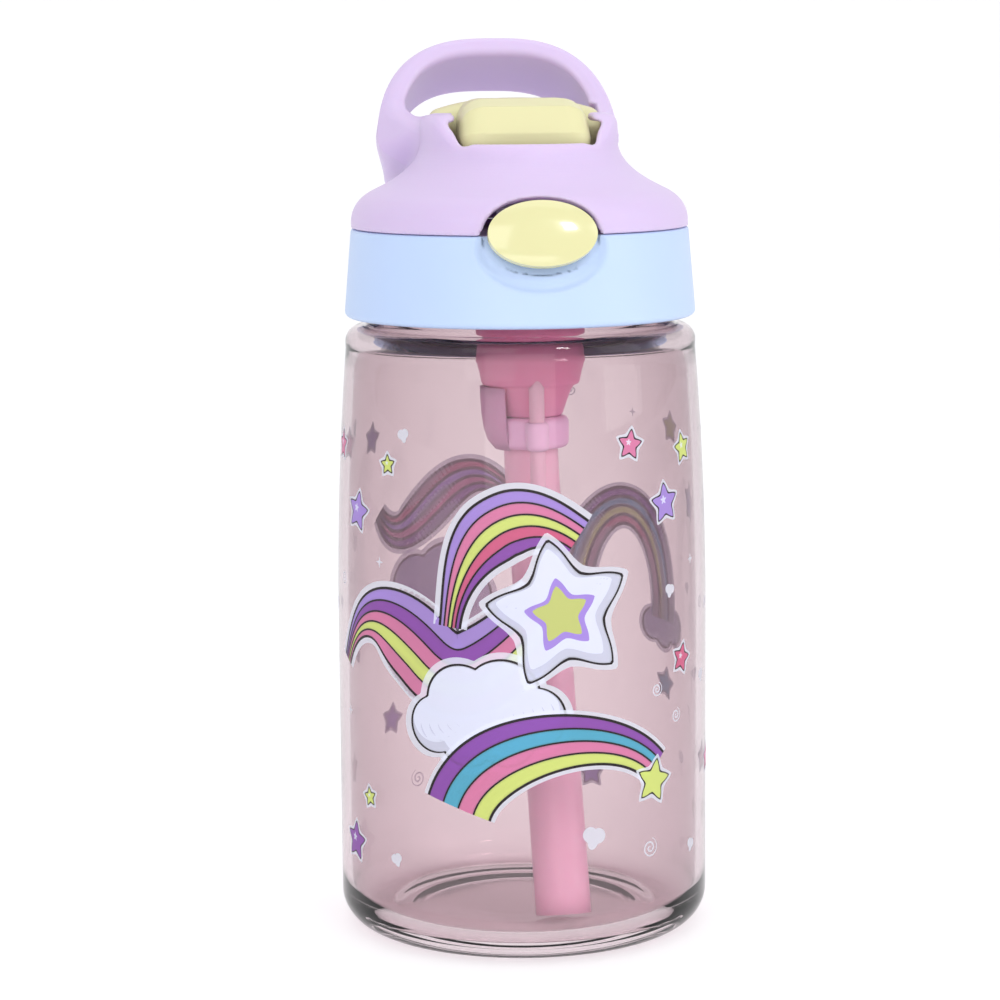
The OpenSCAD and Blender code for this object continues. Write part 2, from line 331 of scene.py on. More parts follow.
@dataclass
class Finishes:
    """Every finish of the bottle, made once and shared by the pieces."""

    # Moulded casing plastics: satin, and a little light goes round in the 2 mm walls.
    lilac: bpy.types.Material = moulded(
        "lilac_polypropylene", "#D0BEE1", "#CDBADE", roughness=0.46, glow=0.4, glow_radius_mm=3.0
    )
    blue: bpy.types.Material = moulded("blue_polypropylene", "#B6CBEE", "#BCD0F1", roughness=0.42)
    yellow: bpy.types.Material = moulded("yellow_abs", "#DAD6A6", "#D6D2A4", roughness=0.36)
    # The key is polished in the tool, so it mirrors a lamp as a small sharp spot.
    yellow_gloss: bpy.types.Material = moulded(
        "polished_yellow_abs", "#DAD7A2", "#D7D3A0", roughness=0.16, grain_depth_mm=0.002, coat=0.6
    )
    # Soft parts: light enters a few millimetres, so their shaded sides stay warm.
    silicone: bpy.types.Material = moulded(
        "pink_silicone", "#F9A6CB", "#F69EC5", roughness=0.42, glow=0.5, glow_radius_mm=3.0, ior=1.41
    )
    straw: bpy.types.Material = moulded(
        "pink_polyethylene", "#FFCADF", "#FDC2DA", roughness=0.3, glow=0.45, glow_radius_mm=3.0, ior=1.5
    )
    ring: bpy.types.Material = moulded(
        "pale_pink_polypropylene", "#FBD3F3", "#F8CBEF", roughness=0.34, glow=0.3, glow_radius_mm=2.0
    )
    sleeve: bpy.types.Material = moulded("mauve_silicone", "#DDB0D0", "#D6A8CA", glow=0.5)
    seal: bpy.types.Material = moulded("white_silicone", "#EDEBF0", "#E6E4EA", roughness=0.5, glow=0.3)
    steel: bpy.types.Material = field(default_factory=lambda: Steel().make())
    clear: bpy.types.Material = field(default_factory=lambda: ClearTub().make())


class Ink(Enum):
    """Screen-print inks of the generic pattern on the tub."""

    WHITE = "#F1F4FF"
    LINE = "#2B2226"
    PURPLE = "#9C5CB8"
    VIOLET = "#B79BE3"
    TEAL = "#62B9D2"
    PINK = "#E58CB4"
    ROSE = "#DE6E94"
    LIME = "#DFEB88"
    MIST = "#DADCEA"


@dataclass(frozen=True)
class InkFilm:
    """Cured screen-print ink: a satin film, its gloss faintly mottled by the mesh.

    The film is some 12 microns thick, so a part of the light behind it comes through. The real
    mesh is about 0.1 mm; the mottle is drawn at 0.6 mm so that it shows.
    """

    ink: Ink
    mottle_mm: float = 0.6
    smoothest: float = 0.26
    roughest: float = 0.38
    passing: float = 0.45
    shade: str = "#EBE4E8"

    def make(self) -> bpy.types.Material:
        """Builds the material.

        Returns:
            The finished material.
        """
        colour = linear(self.ink.value)
        material, tree, place = start_material(f"{self.ink.name.lower()}_screen_ink", self.ink.value)
        scale = 1 / (self.mottle_mm * MM)
        mottle = add_node(tree, "ShaderNodeTexNoise", Vector=place, Scale=scale, Detail=2.0)
        spread = add_node(
            tree,
            "ShaderNodeMapRange",
            Value=mottle.outputs["Fac"],
            To_Min=self.smoothest,
            To_Max=self.roughest,
        )
        skin = add_node(tree, "ShaderNodeBsdfPrincipled", Base_Color=colour, Roughness=spread.outputs[0])
        film = add_node(
            tree,
            "ShaderNodeMixShader",
            i0=self.passing,
            i1=skin.outputs[0],
            i2=add_node(tree, "ShaderNodeBsdfTranslucent", Color=colour).outputs[0],
        )
        end_with_lamps_through(tree, film.outputs[0], self.shade)
        return material


# ---------------------------------------------------------------- meshes from arrays


def mesh_piece(
    name: str, points: Array, faces: Array, material: bpy.types.Material, normals: Array | None = None
) -> bpy.types.Object:
    """Puts arrays of points and quads into a mesh object at the origin.

    Args:
        name: name of the new object.
        points: N by 3 array in millimetres.
        faces: M by 4 array of indices, counter-clockwise seen from outside. Points that
            coincide are welded, so a row gathered on a pole becomes a fan of triangles.
        material: finish of the whole piece.
        normals: optional N by 3 array of shading normals, for points that need no weld.

    Returns:
        The object, linked to the scene, with its place in its mesh.
    """
    if normals is None:
        _, first, where = np.unique(np.round(points, 4), axis=0, return_index=True, return_inverse=True)
        points, faces = points[first], where.reshape(-1)[faces]
    kept = faces != np.roll(faces, 1, axis=1)
    whole = kept.sum(1) >= 3
    faces, kept = faces[whole], kept[whole]
    corners, sides = faces[kept], kept.sum(1)
    mesh = bpy.data.meshes.new(name)
    mesh.vertices.add(len(points))
    mesh.vertices.foreach_set("co", (points * MM).astype(np.float32).ravel())
    mesh.loops.add(len(corners))
    mesh.loops.foreach_set("vertex_index", corners.astype(np.int32))
    mesh.polygons.add(len(faces))
    mesh.polygons.foreach_set("loop_start", (np.cumsum(sides) - sides).astype(np.int32))
    mesh.update(calc_edges=True)
    mesh.validate()
    mesh.shade_smooth()
    if normals is not None:
        mesh.normals_split_custom_set_from_vertices(normals.astype(np.float32))
    mesh.materials.append(material)
    piece = bpy.data.objects.new(name, mesh)
    bpy.context.scene.collection.objects.link(piece)
    return piece


def grid_faces(rows: int, columns: int, wrap_rows: bool, wrap_columns: bool) -> Array:
    """Quads of a grid of points, row by row, closed round in either direction where asked.

    Args:
        rows: points along the first direction.
        columns: points along the second.
        wrap_rows: whether the last row joins the first.
        wrap_columns: whether the last column joins the first.

    Returns:
        M by 4 array of indices.
    """
    i = np.arange(rows if wrap_rows else rows - 1)
    j = np.arange(columns if wrap_columns else columns - 1)
    ii, jj = np.meshgrid(i, j, indexing="ij")
    up, right = (ii + 1) % rows, (jj + 1) % columns
    quad = [ii * columns + jj, ii * columns + right, up * columns + right, up * columns + jj]
    return np.stack(quad, -1).reshape(-1, 4)


def full_turn(n: int) -> Array:
    """N even angles of a full turn, 2 pi k / n."""
    return np.linspace(0, TAU, n, endpoint=False)


def grid_piece(
    name: str,
    points: Array,
    material: bpy.types.Material,
    wrap_rows: bool = False,
    wrap_columns: bool = True,
    turned_over: bool = False,
) -> bpy.types.Object:
    """Makes a piece of a grid of points.

    Args:
        name: name of the new object.
        points: rows by columns by 3 array in millimetres.
        material: finish of the whole piece.
        wrap_rows: whether the last row joins the first.
        wrap_columns: whether the last column joins the first.
        turned_over: whether the quads run the other way round, to face outwards.

    Returns:
        The new object.
    """
    faces = grid_faces(*points.shape[:2], wrap_rows, wrap_columns)
    return mesh_piece(name, points.reshape(-1, 3), faces[:, ::-1] if turned_over else faces, material)


def smooth_step(t: Array | float) -> Array:
    """Rises from 0 to 1 as 3t^2 - 2t^3 while t goes from 0 to 1, and is flat outside."""
    t = np.clip(t, 0.0, 1.0)
    return t * t * (3 - 2 * t)


def smooth_max(a: Array, b: Array | float, k: float) -> Array:
    """Larger of two fields, blended over a band k wide so that the edge is round."""
    h = np.clip(0.5 + (a - b) / (2 * k), 0.0, 1.0)
    return b + (a - b) * h + k * h * (1 - h)


def smooth_min(a: Array, b: Array | float, k: float) -> Array:
    """Smaller of two fields, blended over a band k wide so that the corner is filled."""
    return -smooth_max(-a, -b if isinstance(b, np.ndarray) else -b, k)


def bezier(a: tuple, b: tuple, c: tuple, d: tuple, n: int) -> Array:
    """Points of the cubic curve (1-t)^3 a + 3(1-t)^2 t b + 3(1-t) t^2 c + t^3 d.

    Args:
        a, b, c, d: the curve's four control points.
        n: number of points.

    Returns:
        N by 2 or N by 3 array.
    """
    t = np.linspace(0, 1, n)[:, None]
    a, b, c, d = (np.array(p, float) for p in (a, b, c, d))
    return (1 - t) ** 3 * a + 3 * (1 - t) ** 2 * t * b + 3 * (1 - t) * t**2 * c + t**3 * d


def arc(centre: tuple, radius: float, start: float, end: float, n: int = 9) -> Array:
    """Points of a circular arc in a profile plane, angles in degrees."""
    a = np.radians(np.linspace(start, end, n))
    return np.stack([centre[0] + radius * np.cos(a), centre[1] + radius * np.sin(a)], -1)


def outline_distance(u: Array, v: Array, corners: Array) -> Array:
    """Signed distance to a closed polygon in a plane, negative inside.

    For each side the distance is that of the point to the segment, the least of them is kept,
    and its sign comes from how many sides a ray towards +u crosses.

    Args:
        u: first coordinate of the points.
        v: second coordinate of the points.
        corners: K by 2 array of the polygon's corners.

    Returns:
        Array of the same shape as u.
    """
    best = np.full(u.shape, 1e9)
    inside = np.zeros(u.shape, bool)
    for (au, av), (bu, bv) in zip(corners, np.roll(corners, -1, 0)):
        du, dv = bu - au, bv - av
        length = du * du + dv * dv + 1e-12
        t = np.clip(((u - au) * du + (v - av) * dv) / length, 0, 1)
        best = np.minimum(best, (u - au - t * du) ** 2 + (v - av - t * dv) ** 2)
        crosses = ((av > v) != (bv > v)) & (u < (bu - au) * (v - av) / (bv - av + 1e-12) + au)
        inside ^= crosses
    return np.where(inside, -1.0, 1.0) * np.sqrt(best)


@dataclass
class Profile:
    """Outline in the radius and height plane, with its distance field on a fine lookup grid."""

    corners: Array
    cell: float = 0.12
    margin: float = 4.0

    def __post_init__(self) -> None:
        """Fills the lookup grid with distances to the outline."""
        self.low = self.corners.min(0) - self.margin
        size = np.ceil((self.corners.max(0) + self.margin - self.low) / self.cell).astype(int) + 1
        u, v = np.meshgrid(*[self.low[i] + self.cell * np.arange(size[i]) for i in (0, 1)], indexing="ij")
        self.table = outline_distance(u, v, self.corners)

    def distance(self, radius: Array, height: Array) -> Array:
        """Looks up the distance by linear steps between the grid's points.

        Args:
            radius: distances from the axis.
            height: heights.

        Returns:
            Array like radius, negative inside the outline.
        """
        s = np.clip((radius - self.low[0]) / self.cell, 0, self.table.shape[0] - 1.001)
        t = np.clip((height - self.low[1]) / self.cell, 0, self.table.shape[1] - 1.001)
        i, j = s.astype(int), t.astype(int)
        s, t = s - i, t - j
        near = self.table[i, j] * (1 - s) + self.table[i + 1, j] * s
        far = self.table[i, j + 1] * (1 - s) + self.table[i + 1, j + 1] * s
        return near * (1 - t) + far * t


def level_surface(
    name: str, distance: Field, low: tuple, high: tuple, step: float, material: bpy.types.Material
) -> bpy.types.Object:
    """Meshes the zero level of a distance field, for moulded shapes whose parts blend together.

    A cell of the grid whose corners lie on both sides of the surface gets one point, the mean of
    the crossings on its 12 edges, moved onto the surface by p - F g / |g|^2. Each grid edge that
    crosses the surface gets a quad of the four cells round it. Everything runs on whole arrays.

    Args:
        name: name of the piece.
        distance: field of x, y and z in millimetres, negative inside the piece.
        low: lowest corner of the grid.
        high: highest corner of the grid.
        step: width of a cell.
        material: finish of the piece.

    Returns:
        The new object.
    """
    low, high = np.array(low, float), np.array(high, float)
    size = np.ceil((high - low) / step).astype(int) + 1
    axes = [low[i] + step * np.arange(size[i]) for i in range(3)]
    values = distance(*np.meshgrid(*axes, indexing="ij"))
    inside = values < 0
    span = size - 1
    corners = [(a, b, c) for a in (0, 1) for b in (0, 1) for c in (0, 1)]
    count = sum(
        inside[a : a + span[0], b : b + span[1], c : c + span[2]].astype(np.int8) for a, b, c in corners
    )
    cells = np.argwhere((count > 0) & (count < 8))
    index = np.full(span, -1)
    index[tuple(cells.T)] = np.arange(len(cells))
    total, hits = np.zeros((len(cells), 3)), np.zeros(len(cells))
    for start in corners:
        for axis in range(3):
            if start[axis]:
                continue
            end = tuple(1 if k == axis else start[k] for k in range(3))
            fa = values[tuple((cells + start).T)]
            fb = values[tuple((cells + end).T)]
            cross = (fa < 0) != (fb < 0)
            t = np.where(cross, fa / np.where(cross, fa - fb, 1), 0)
            spot = np.array(start, float) + t[:, None] * (np.array(end) - np.array(start))
            total += spot * cross[:, None]
            hits += cross
    points = low + step * (cells + total / hits[:, None])
    small = 0.05
    for _ in range(3):
        x, y, z = points.T
        slope = np.stack(
            [
                distance(x + small, y, z) - distance(x - small, y, z),
                distance(x, y + small, z) - distance(x, y - small, z),
                distance(x, y, z + small) - distance(x, y, z - small),
            ],
            -1,
        ) / (2 * small)
        steep = np.maximum((slope**2).sum(1), 0.05)
        move = (distance(x, y, z) / steep)[:, None] * slope
        points = points - np.clip(move, -0.4 * step, 0.4 * step)
    normals = slope / np.sqrt(steep)[:, None]
    normals /= np.maximum(np.linalg.norm(normals, axis=1), 1e-9)[:, None]
    quads = []
    for axis in range(3):
        second, third = (axis + 1) % 3, (axis + 2) % 3
        a = np.take(inside, np.arange(size[axis] - 1), axis)
        b = np.take(inside, np.arange(1, size[axis]), axis)
        spots = np.argwhere(a != b)
        keep = (
            (spots[:, second] > 0)
            & (spots[:, second] < span[second])
            & (spots[:, third] > 0)
            & (spots[:, third] < span[third])
        )
        spots = spots[keep]
        outward = a[tuple(spots.T)]
        ring = []
        for back_second, back_third in ((1, 1), (0, 1), (0, 0), (1, 0)):
            cell = spots.copy()
            cell[:, second] -= back_second
            cell[:, third] -= back_third
            ring.append(index[tuple(cell.T)])
        quad = np.stack(ring, -1)
        quads.append(np.where(outward[:, None], quad, quad[:, ::-1]))
    return mesh_piece(name, points, np.concatenate(quads), material, normals)


def turned(
    name: str,
    outline: Array,
    material: bpy.types.Material,
    centre: tuple = (0.0, 0.0),
    around: int = 192,
) -> bpy.types.Object:
    """Turns a closed outline about an upright axis: (r cos a, r sin a, z).

    Args:
        name: name of the piece.
        outline: K by 2 array of radius and height, up the outside and down the inside.
        material: finish of the piece.
        centre: place of the axis.
        around: points in a full turn.

    Returns:
        The new object, closed where the outline starts and ends on the axis or meets itself.
    """
    a = full_turn(around)
    r, z = outline[:, 0][:, None], outline[:, 1][:, None]
    points = np.stack([centre[0] + r * np.cos(a), centre[1] + r * np.sin(a), z + 0 * a], -1)
    return grid_piece(name, points, material, wrap_rows=True)


def swept(
    name: str, path: Array, radius: float, bore: float, material: bpy.types.Material, sides: int = 48
) -> bpy.types.Object:
    """Carries a tube section along a path: p(t) + r (n cos a + b sin a), outside then inside.

    Args:
        name: name of the piece.
        path: K by 3 array of the centre line.
        radius: outer radius.
        bore: inner radius.
        material: finish of the piece.
        sides: points round the section.

    Returns:
        The new object, with flat annular ends.
    """
    along = np.gradient(path, axis=0)
    along /= np.linalg.norm(along, axis=1)[:, None]
    side = np.cross(along, np.array([1.0, 0.0, 0.0]))
    side /= np.linalg.norm(side, axis=1)[:, None]
    other = np.cross(along, side)
    lip = min(0.3, (radius - bore) * 0.45)
    last = len(path) - 1
    at = np.concatenate([[0], np.arange(last + 1), [last], np.arange(last, -1, -1)])
    far = np.full(last + 1, radius)
    reach = np.concatenate([[bore + lip], far, [bore + lip], far - radius + bore])[:, None, None]
    a = full_turn(sides)[None, :, None]
    points = path[at][:, None] + reach * (np.cos(a) * side[at][:, None] + np.sin(a) * other[at][:, None])
    return grid_piece(name, points, material, wrap_rows=True)


def hand_in(piece: bpy.types.Object, body: Body, slot: str, *nodes: str) -> bpy.types.Object:
    """Rides a piece on its body and hides the CAD nodes that it stands for.

    Args:
        piece: the new piece.
        body: the body that it moves with.
        slot: name of its material slot; not used.
        nodes: CAD nodes that it stands for.

    Returns:
        The same piece.
    """
    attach(piece, body.value)
    if nodes:
        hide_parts(*nodes)
    LOG.info("%s rides on %s with %d points", piece.name, body.value, len(piece.data.vertices))
    return piece


# ---------------------------------------------------------------- the tub and its prints


@dataclass
class Tub:
    """Clear tinted tub with a thick floor, a foot ring, a round shoulder and a threaded neck."""

    radius: float = 36.85
    wall: float = 2.0
    floor: float = 3.9
    fillet: float = 7.0
    shoulder_z: float = 121.0
    neck_r: float = 30.2
    mouth_r: float = 27.8
    taper_z: float = 62.0
    taper_top: float = 116.4
    taper: float = 2.2
    lead: float = 4.5
    thread_z: float = 124.4
    thread_turns: float = 1.5
    thread_depth: float = 1.1
    thread_start: float = 17.0

    def side(self, height: Array) -> Array:
        """Outer radius at a height: straight, then drawn in by 2.2 mm as the square of the rise."""
        rise = np.clip((np.asarray(height, float) - self.taper_z) / (self.taper_top - self.taper_z), 0, 1)
        return self.radius - self.taper * rise**2

    def outline(self) -> Array:
        """Closed section of the wall, from the floor's middle outward, up, over and back down.

        Returns:
            K by 2 array of radius and height.
        """
        low = self.fillet
        heights = np.linspace(low + 1, self.taper_top, 40)
        outer = np.stack([self.side(heights), heights], -1)
        skirt = arc((self.radius - low, low), low, -84, -3, 14)
        shoulder = arc((31.5, 117.6), 3.2, 2, 82, 12)
        rim = arc((29.8, 136.0), 0.4, 0, 90, 5)
        mouth = arc((28.2, 136.0), 0.4, 90, 180, 5)
        inner_shoulder = arc((28.4, 115.2), 3.9, 74, 4, 12)
        inner_heights = np.linspace(113.5, self.floor + 7, 40)
        inner = np.stack([self.side(inner_heights) - self.wall, inner_heights], -1)
        heel = arc((self.radius - self.wall - 6, self.floor + 6), 6, -3, -88, 14)
        parts = [
            [[0.0, 2.4], [12, 2.2], [20, 1.9], [24.2, 1.2], [25.2, 0.4], [26.4, 0.02], [28.8, 0.0]],
            skirt,
            outer,
            shoulder,
            [[self.neck_r + 0.5, self.shoulder_z - 0.2], [self.neck_r, self.shoulder_z + 0.6]],
            rim,
            mouth,
            [[self.mouth_r, 124], [self.mouth_r, 121.5]],
            inner_shoulder,
            inner,
            heel,
            [[27.2, self.floor + 0.1], [26, self.floor + 0.6], [24.6, self.floor + 0.75]],
            [[22, self.floor + 0.3], [14, self.floor + 0.35], [6, self.floor + 0.6], [0, self.floor + 0.7]],
        ]
        return np.concatenate([np.array(p, float) for p in parts])

    def thread(self, material: bpy.types.Material) -> bpy.types.Object:
        """Ridge of the neck thread: a soft hump carried up a helix of 4.5 mm lead, 1.5 turns.

        The section at angle a is r = 30.05 + 1.1 f max(cos b, -0.2), z = 124.4 + 4.5 a / 2 pi +
        0.65 f sin b, and f falls to nothing at both ends, which closes them.

        Args:
            material: finish of the tub.

        Returns:
            The new piece.
        """
        n, sides = 260, 14
        a = np.linspace(0, self.thread_turns * TAU, n)[:, None]
        fade = np.clip(np.minimum(np.arange(n), np.arange(n)[::-1]) / 16, 0, 1)[:, None] ** 0.5
        b = full_turn(sides)
        r = self.neck_r - 0.15 + self.thread_depth * fade * np.maximum(np.cos(b), -0.2)
        z = self.thread_z + self.lead * a / TAU + 0.65 * fade * np.sin(b)
        start = math.radians(self.thread_start)
        points = np.stack([r * np.cos(a + start), r * np.sin(a + start), z], -1)
        return grid_piece("neck_thread", points, material, turned_over=True)

    def build(self, finishes: Finishes) -> None:
        """Makes the wall and the neck thread.

        Args:
            finishes: the bottle's finishes.
        """
        wall = turned("clear_tub", self.outline(), finishes.clear, around=256)
        hand_in(wall, Body.TUB, "clear_tub", "bottle_body")
        hand_in(self.thread(finishes.clear), Body.TUB, "clear_tub")


# ---------------------------------------------------------------- the screen print


def star_edge(angle: Array, points: int, inner: float, soft: float) -> Array:
    """Radius of a star against angle: straight flanks between tips and hollows, tips worn soft.

    On each half point the flank is the straight line from the tip (1, 0) to the hollow
    (inner cos h, inner sin h), and the result is blended with its mean by soft.

    Args:
        angle: directions from the middle.
        points: number of tips.
        inner: radius of the hollows, with tips at 1.
        soft: share of the rounded outline.

    Returns:
        Array like angle.
    """
    half = math.pi / points
    a = np.abs((angle + half) % (2 * half) - half)
    hx, hy = inner * math.cos(half), inner * math.sin(half)
    flank = hy / (hy * np.cos(a) + (1 - hx) * np.sin(a))
    smooth = inner + (1 - inner) * (0.5 + 0.5 * np.cos(points * angle)) ** 1.6
    return flank * (1 - soft) + smooth * soft


def heart_edge(angle: Array) -> Array:
    """Radius of a plump heart against angle, tip down: two lobes meeting in a dimple on top."""
    side = np.abs(np.angle(np.exp(1j * (angle - math.pi / 2)))) / math.pi
    lobes = 0.34 * np.sin(math.pi * np.clip(side * 1.25, 0, 1))
    return 0.62 + lobes + 0.42 * smooth_step((side - 0.72) / 0.28)


def cloud_edge(angle: Array, lobes: tuple) -> Array:
    """Radius of a cloud against angle: the farthest a ray from the middle gets in any lobe.

    Args:
        angle: directions of the rays.
        lobes: (s, z, radius) of each round lobe, relative to the middle.

    Returns:
        Array like angle.
    """
    best = np.full(angle.shape, 0.05)
    for s, z, radius in lobes:
        along = s * np.cos(angle) + z * np.sin(angle)
        across = s * s + z * z - along**2
        reach = along + np.sqrt(np.maximum(radius**2 - across, 0))
        best = np.where(across < radius**2, np.maximum(best, reach), best)
    return best


@dataclass
class Prints:
    """Generic pattern on the tub: a shooting star over a cloud, a rainbow, stars, hearts and curls.

    Places are (s, z): s is the way round the wall from the middle of the front, towards the
    right of somebody facing it, and z is the height. A point is bent onto the wall by
    (r sin(s/r), -r cos(s/r), z). Each further layer of ink lies 0.007 mm above the last.
    """

    tub: Tub
    layer: float = 0.007
    films: dict = field(default_factory=dict)

    def bend(self, flat: Array, level: int) -> Array:
        """Bends flat points onto the wall, level layers above it.

        Args:
            flat: N by 2 array of places.
            level: layer of ink, counted from the wall.

        Returns:
            N by 3 array.
        """
        s, z = flat[:, 0], flat[:, 1]
        turn = s / 37.0
        r = self.tub.side(z) + 0.01 + self.layer * level
        return np.stack([r * np.sin(turn), -r * np.cos(turn), z], -1)

    def put(self, ink: Ink, level: int, flat: Array, rows: int, columns: int, ring: bool) -> None:
        """Keeps a grid of flat points for one ink, to be meshed with the rest of that ink.

        Args:
            ink: the ink.
            level: its layer.
            flat: grid of flat points.
            rows: rows of the grid.
            columns: columns of the grid.
            ring: whether its last column joins the first.
        """
        spots = flat.reshape(-1, 2)
        faces = grid_faces(rows, columns, False, ring)
        a, b, c = (spots[faces[:, k]] for k in (0, 1, 2))
        d = spots[faces[:, 3]]
        area = ((c - a)[:, 0] * (d - b)[:, 1] - (c - a)[:, 1] * (d - b)[:, 0]).sum()
        if area < 0:
            faces = faces[:, ::-1]
        self.films.setdefault(ink, []).append((self.bend(spots, level), faces))

    def patch(self, ink: Ink, level: int, centre: tuple, edge: Array, rows: int = 7) -> None:
        """Fills a shape given by its edge radius at even angles: centre + t edge (cos a, sin a).

        Args:
            ink: the ink.
            level: its layer.
            centre: middle of the shape.
            edge: radius at even angles.
            rows: points from the middle to the edge.
        """
        a = full_turn(len(edge))
        t = np.linspace(0, 1, rows)[:, None]
        flat = np.stack([centre[0] + t * edge * np.cos(a), centre[1] + t * edge * np.sin(a)], -1)
        self.put(ink, level, flat, rows, len(edge), True)

    def line(self, level: int, centre: tuple, edge: Array, width: float) -> None:
        """Draws a dark line of an even width just inside a shape's edge.

        Args:
            level: layer of ink.
            centre: middle of the shape.
            edge: radius at even angles.
            width: width of the line.
        """
        a = full_turn(len(edge))
        t = np.array([[width], [0.0]])
        flat = np.stack([centre[0] + (edge - t) * np.cos(a), centre[1] + (edge - t) * np.sin(a)], -1)
        self.put(Ink.LINE, level, flat, 2, len(edge), True)

    def band(
        self, ink: Ink, level: int, path: Array, width: Array | float, shift: Array | float = 0.0
    ) -> None:
        """Draws a stroke: path + normal (shift +- width/2), with the width free to taper.

        Args:
            ink: the ink.
            level: its layer.
            path: K by 2 array along the stroke.
            width: its width, or one for each point.
            shift: distance of its middle from the path.
        """
        along = np.gradient(path, axis=0)
        along /= np.linalg.norm(along, axis=1)[:, None] + 1e-9
        normal = np.stack([-along[:, 1], along[:, 0]], -1)
        w = np.broadcast_to(np.asarray(width, float), (len(path),))[:, None] / 2
        k = np.broadcast_to(np.asarray(shift, float), (len(path),))[:, None]
        flat = np.stack([path + normal * (k + w * q) for q in (-1.0, -0.33, 0.33, 1.0)])
        self.put(ink, level, flat, 4, len(path), False)

    def badge(
        self,
        ink: Ink,
        level: int,
        centre: tuple,
        edge: Array,
        border: float,
        dark: tuple,
        inset: float,
        rows: int = 7,
    ) -> None:
        """Stacks a white border, a dark line and a fill of ink over one shape.

        Args:
            ink: ink of the fill.
            level: layer of the border.
            centre: middle of the shape.
            edge: radius at even angles.
            border: how far the white stands out.
            dark: how far the dark line stands out, and its width.
            inset: how far the fill stays in.
            rows: points from the middle to the edge.
        """
        self.patch(Ink.WHITE, level, centre, edge + border, rows)
        self.line(level + 1, centre, edge + dark[0], dark[1])
        self.patch(ink, level + 2, centre, edge - inset, rows)

    def star(self, centre: tuple, size: float, lean: float, ink: Ink, border: float = 0.75) -> None:
        """Draws a star with a white border, a dark line, its colour and a pale facet.

        Args:
            centre: middle of the star.
            size: radius of its tips.
            lean: direction of its first tip, in degrees.
            ink: its ink.
            border: width of the white border.
        """
        a = full_turn(120)
        edge = star_edge(a - math.radians(lean), 5, 0.56, 0.35)
        self.badge(ink, 1, centre, edge * size, border, (0.12, 0.4), 0.22)
        facet = star_edge(a - math.radians(lean), 5, 0.5, 0.6) * size * 0.42
        self.patch(Ink.WHITE, 4, (centre[0] - 0.12 * size, centre[1] + 0.16 * size), facet * 0.55)

    def heart(self, centre: tuple, size: float, lean: float) -> None:
        """Draws a plain white heart."""
        a = full_turn(72)
        self.patch(Ink.WHITE, 1, centre, heart_edge(a - math.radians(lean)) * size)

    def curl(self, centre: tuple, size: float, turns: float = 2.2) -> None:
        """Draws a white curl: radius grows evenly with the angle.

        Args:
            centre: its middle.
            size: its outer radius.
            turns: number of turns.
        """
        t = np.linspace(0.06, 1, 70)
        a = TAU * turns * t
        path = np.stack([centre[0] + size * t * np.cos(a), centre[1] + size * t * np.sin(a)], -1)
        self.band(Ink.WHITE, 1, path, 0.34 * np.sin(math.pi * np.clip(t, 0.08, 0.97)) ** 0.4)

    def sparkle(self, centre: tuple, size: float) -> None:
        """Draws a small white star of four long points."""
        a = full_turn(48)
        self.patch(Ink.WHITE, 1, centre, star_edge(a, 4, 0.3, 0.1) * size)

    def dashes(self, centre: tuple, lean: float) -> None:
        """Draws three short white strokes side by side.

        Args:
            centre: middle of the group.
            lean: direction of the strokes, in degrees.
        """
        c, s = math.cos(math.radians(lean)), math.sin(math.radians(lean))
        for k in (-1, 0, 1):
            x = np.linspace(-1.6, 1.6, 9) + 0.5 * k
            path = np.stack([centre[0] + x * c - 1.1 * k * s, centre[1] + x * s + 1.1 * k * c], -1)
            self.band(Ink.WHITE, 1, path, 0.35 * (1 - (np.linspace(-1, 1, 9)) ** 4))

    def rainbow(self, path: Array, widths: Array, inks: tuple, level: int, border: float) -> None:
        """Draws side-by-side bands along a path, on a white border, with dark lines between.

        Args:
            path: K by 2 array along the bands.
            widths: width of all bands together, at each point.
            inks: inks from one side to the other.
            level: layer of the border.
            border: width of the white border.
        """
        self.band(Ink.WHITE, level, path, widths + 2 * border)
        n = len(inks)
        for k in range(n + 1):
            self.band(Ink.LINE, level + 1, path, 0.7, widths * (k / n - 0.5))
        for k, ink in enumerate(inks):
            shift = widths * ((k + 0.5) / n - 0.5)
            self.band(ink, level + 2, path, np.maximum(widths / n - 0.35, 0.05), shift)

    def cloud(self, centre: tuple, lobes: tuple, level: int, border: float = 1.2) -> None:
        """Draws a cloud with a white border, a dark line, a misty lower side and a white top.

        Args:
            centre: its middle.
            lobes: (s, z, radius) of each round lobe.
            level: layer of the border.
            border: width of the white border.
        """
        a = full_turn(200)
        edge = cloud_edge(a, lobes)
        self.badge(Ink.MIST, level, centre, edge, border, (0.15, 0.6), 0.3, 9)
        lifted = cloud_edge(a, tuple((s - 0.05 * r, z + 0.22 * r, 0.86 * r) for s, z, r in lobes))
        self.patch(Ink.WHITE, level + 3, (centre[0] - 0.1, centre[1]), np.minimum(lifted, edge - 0.45), 9)

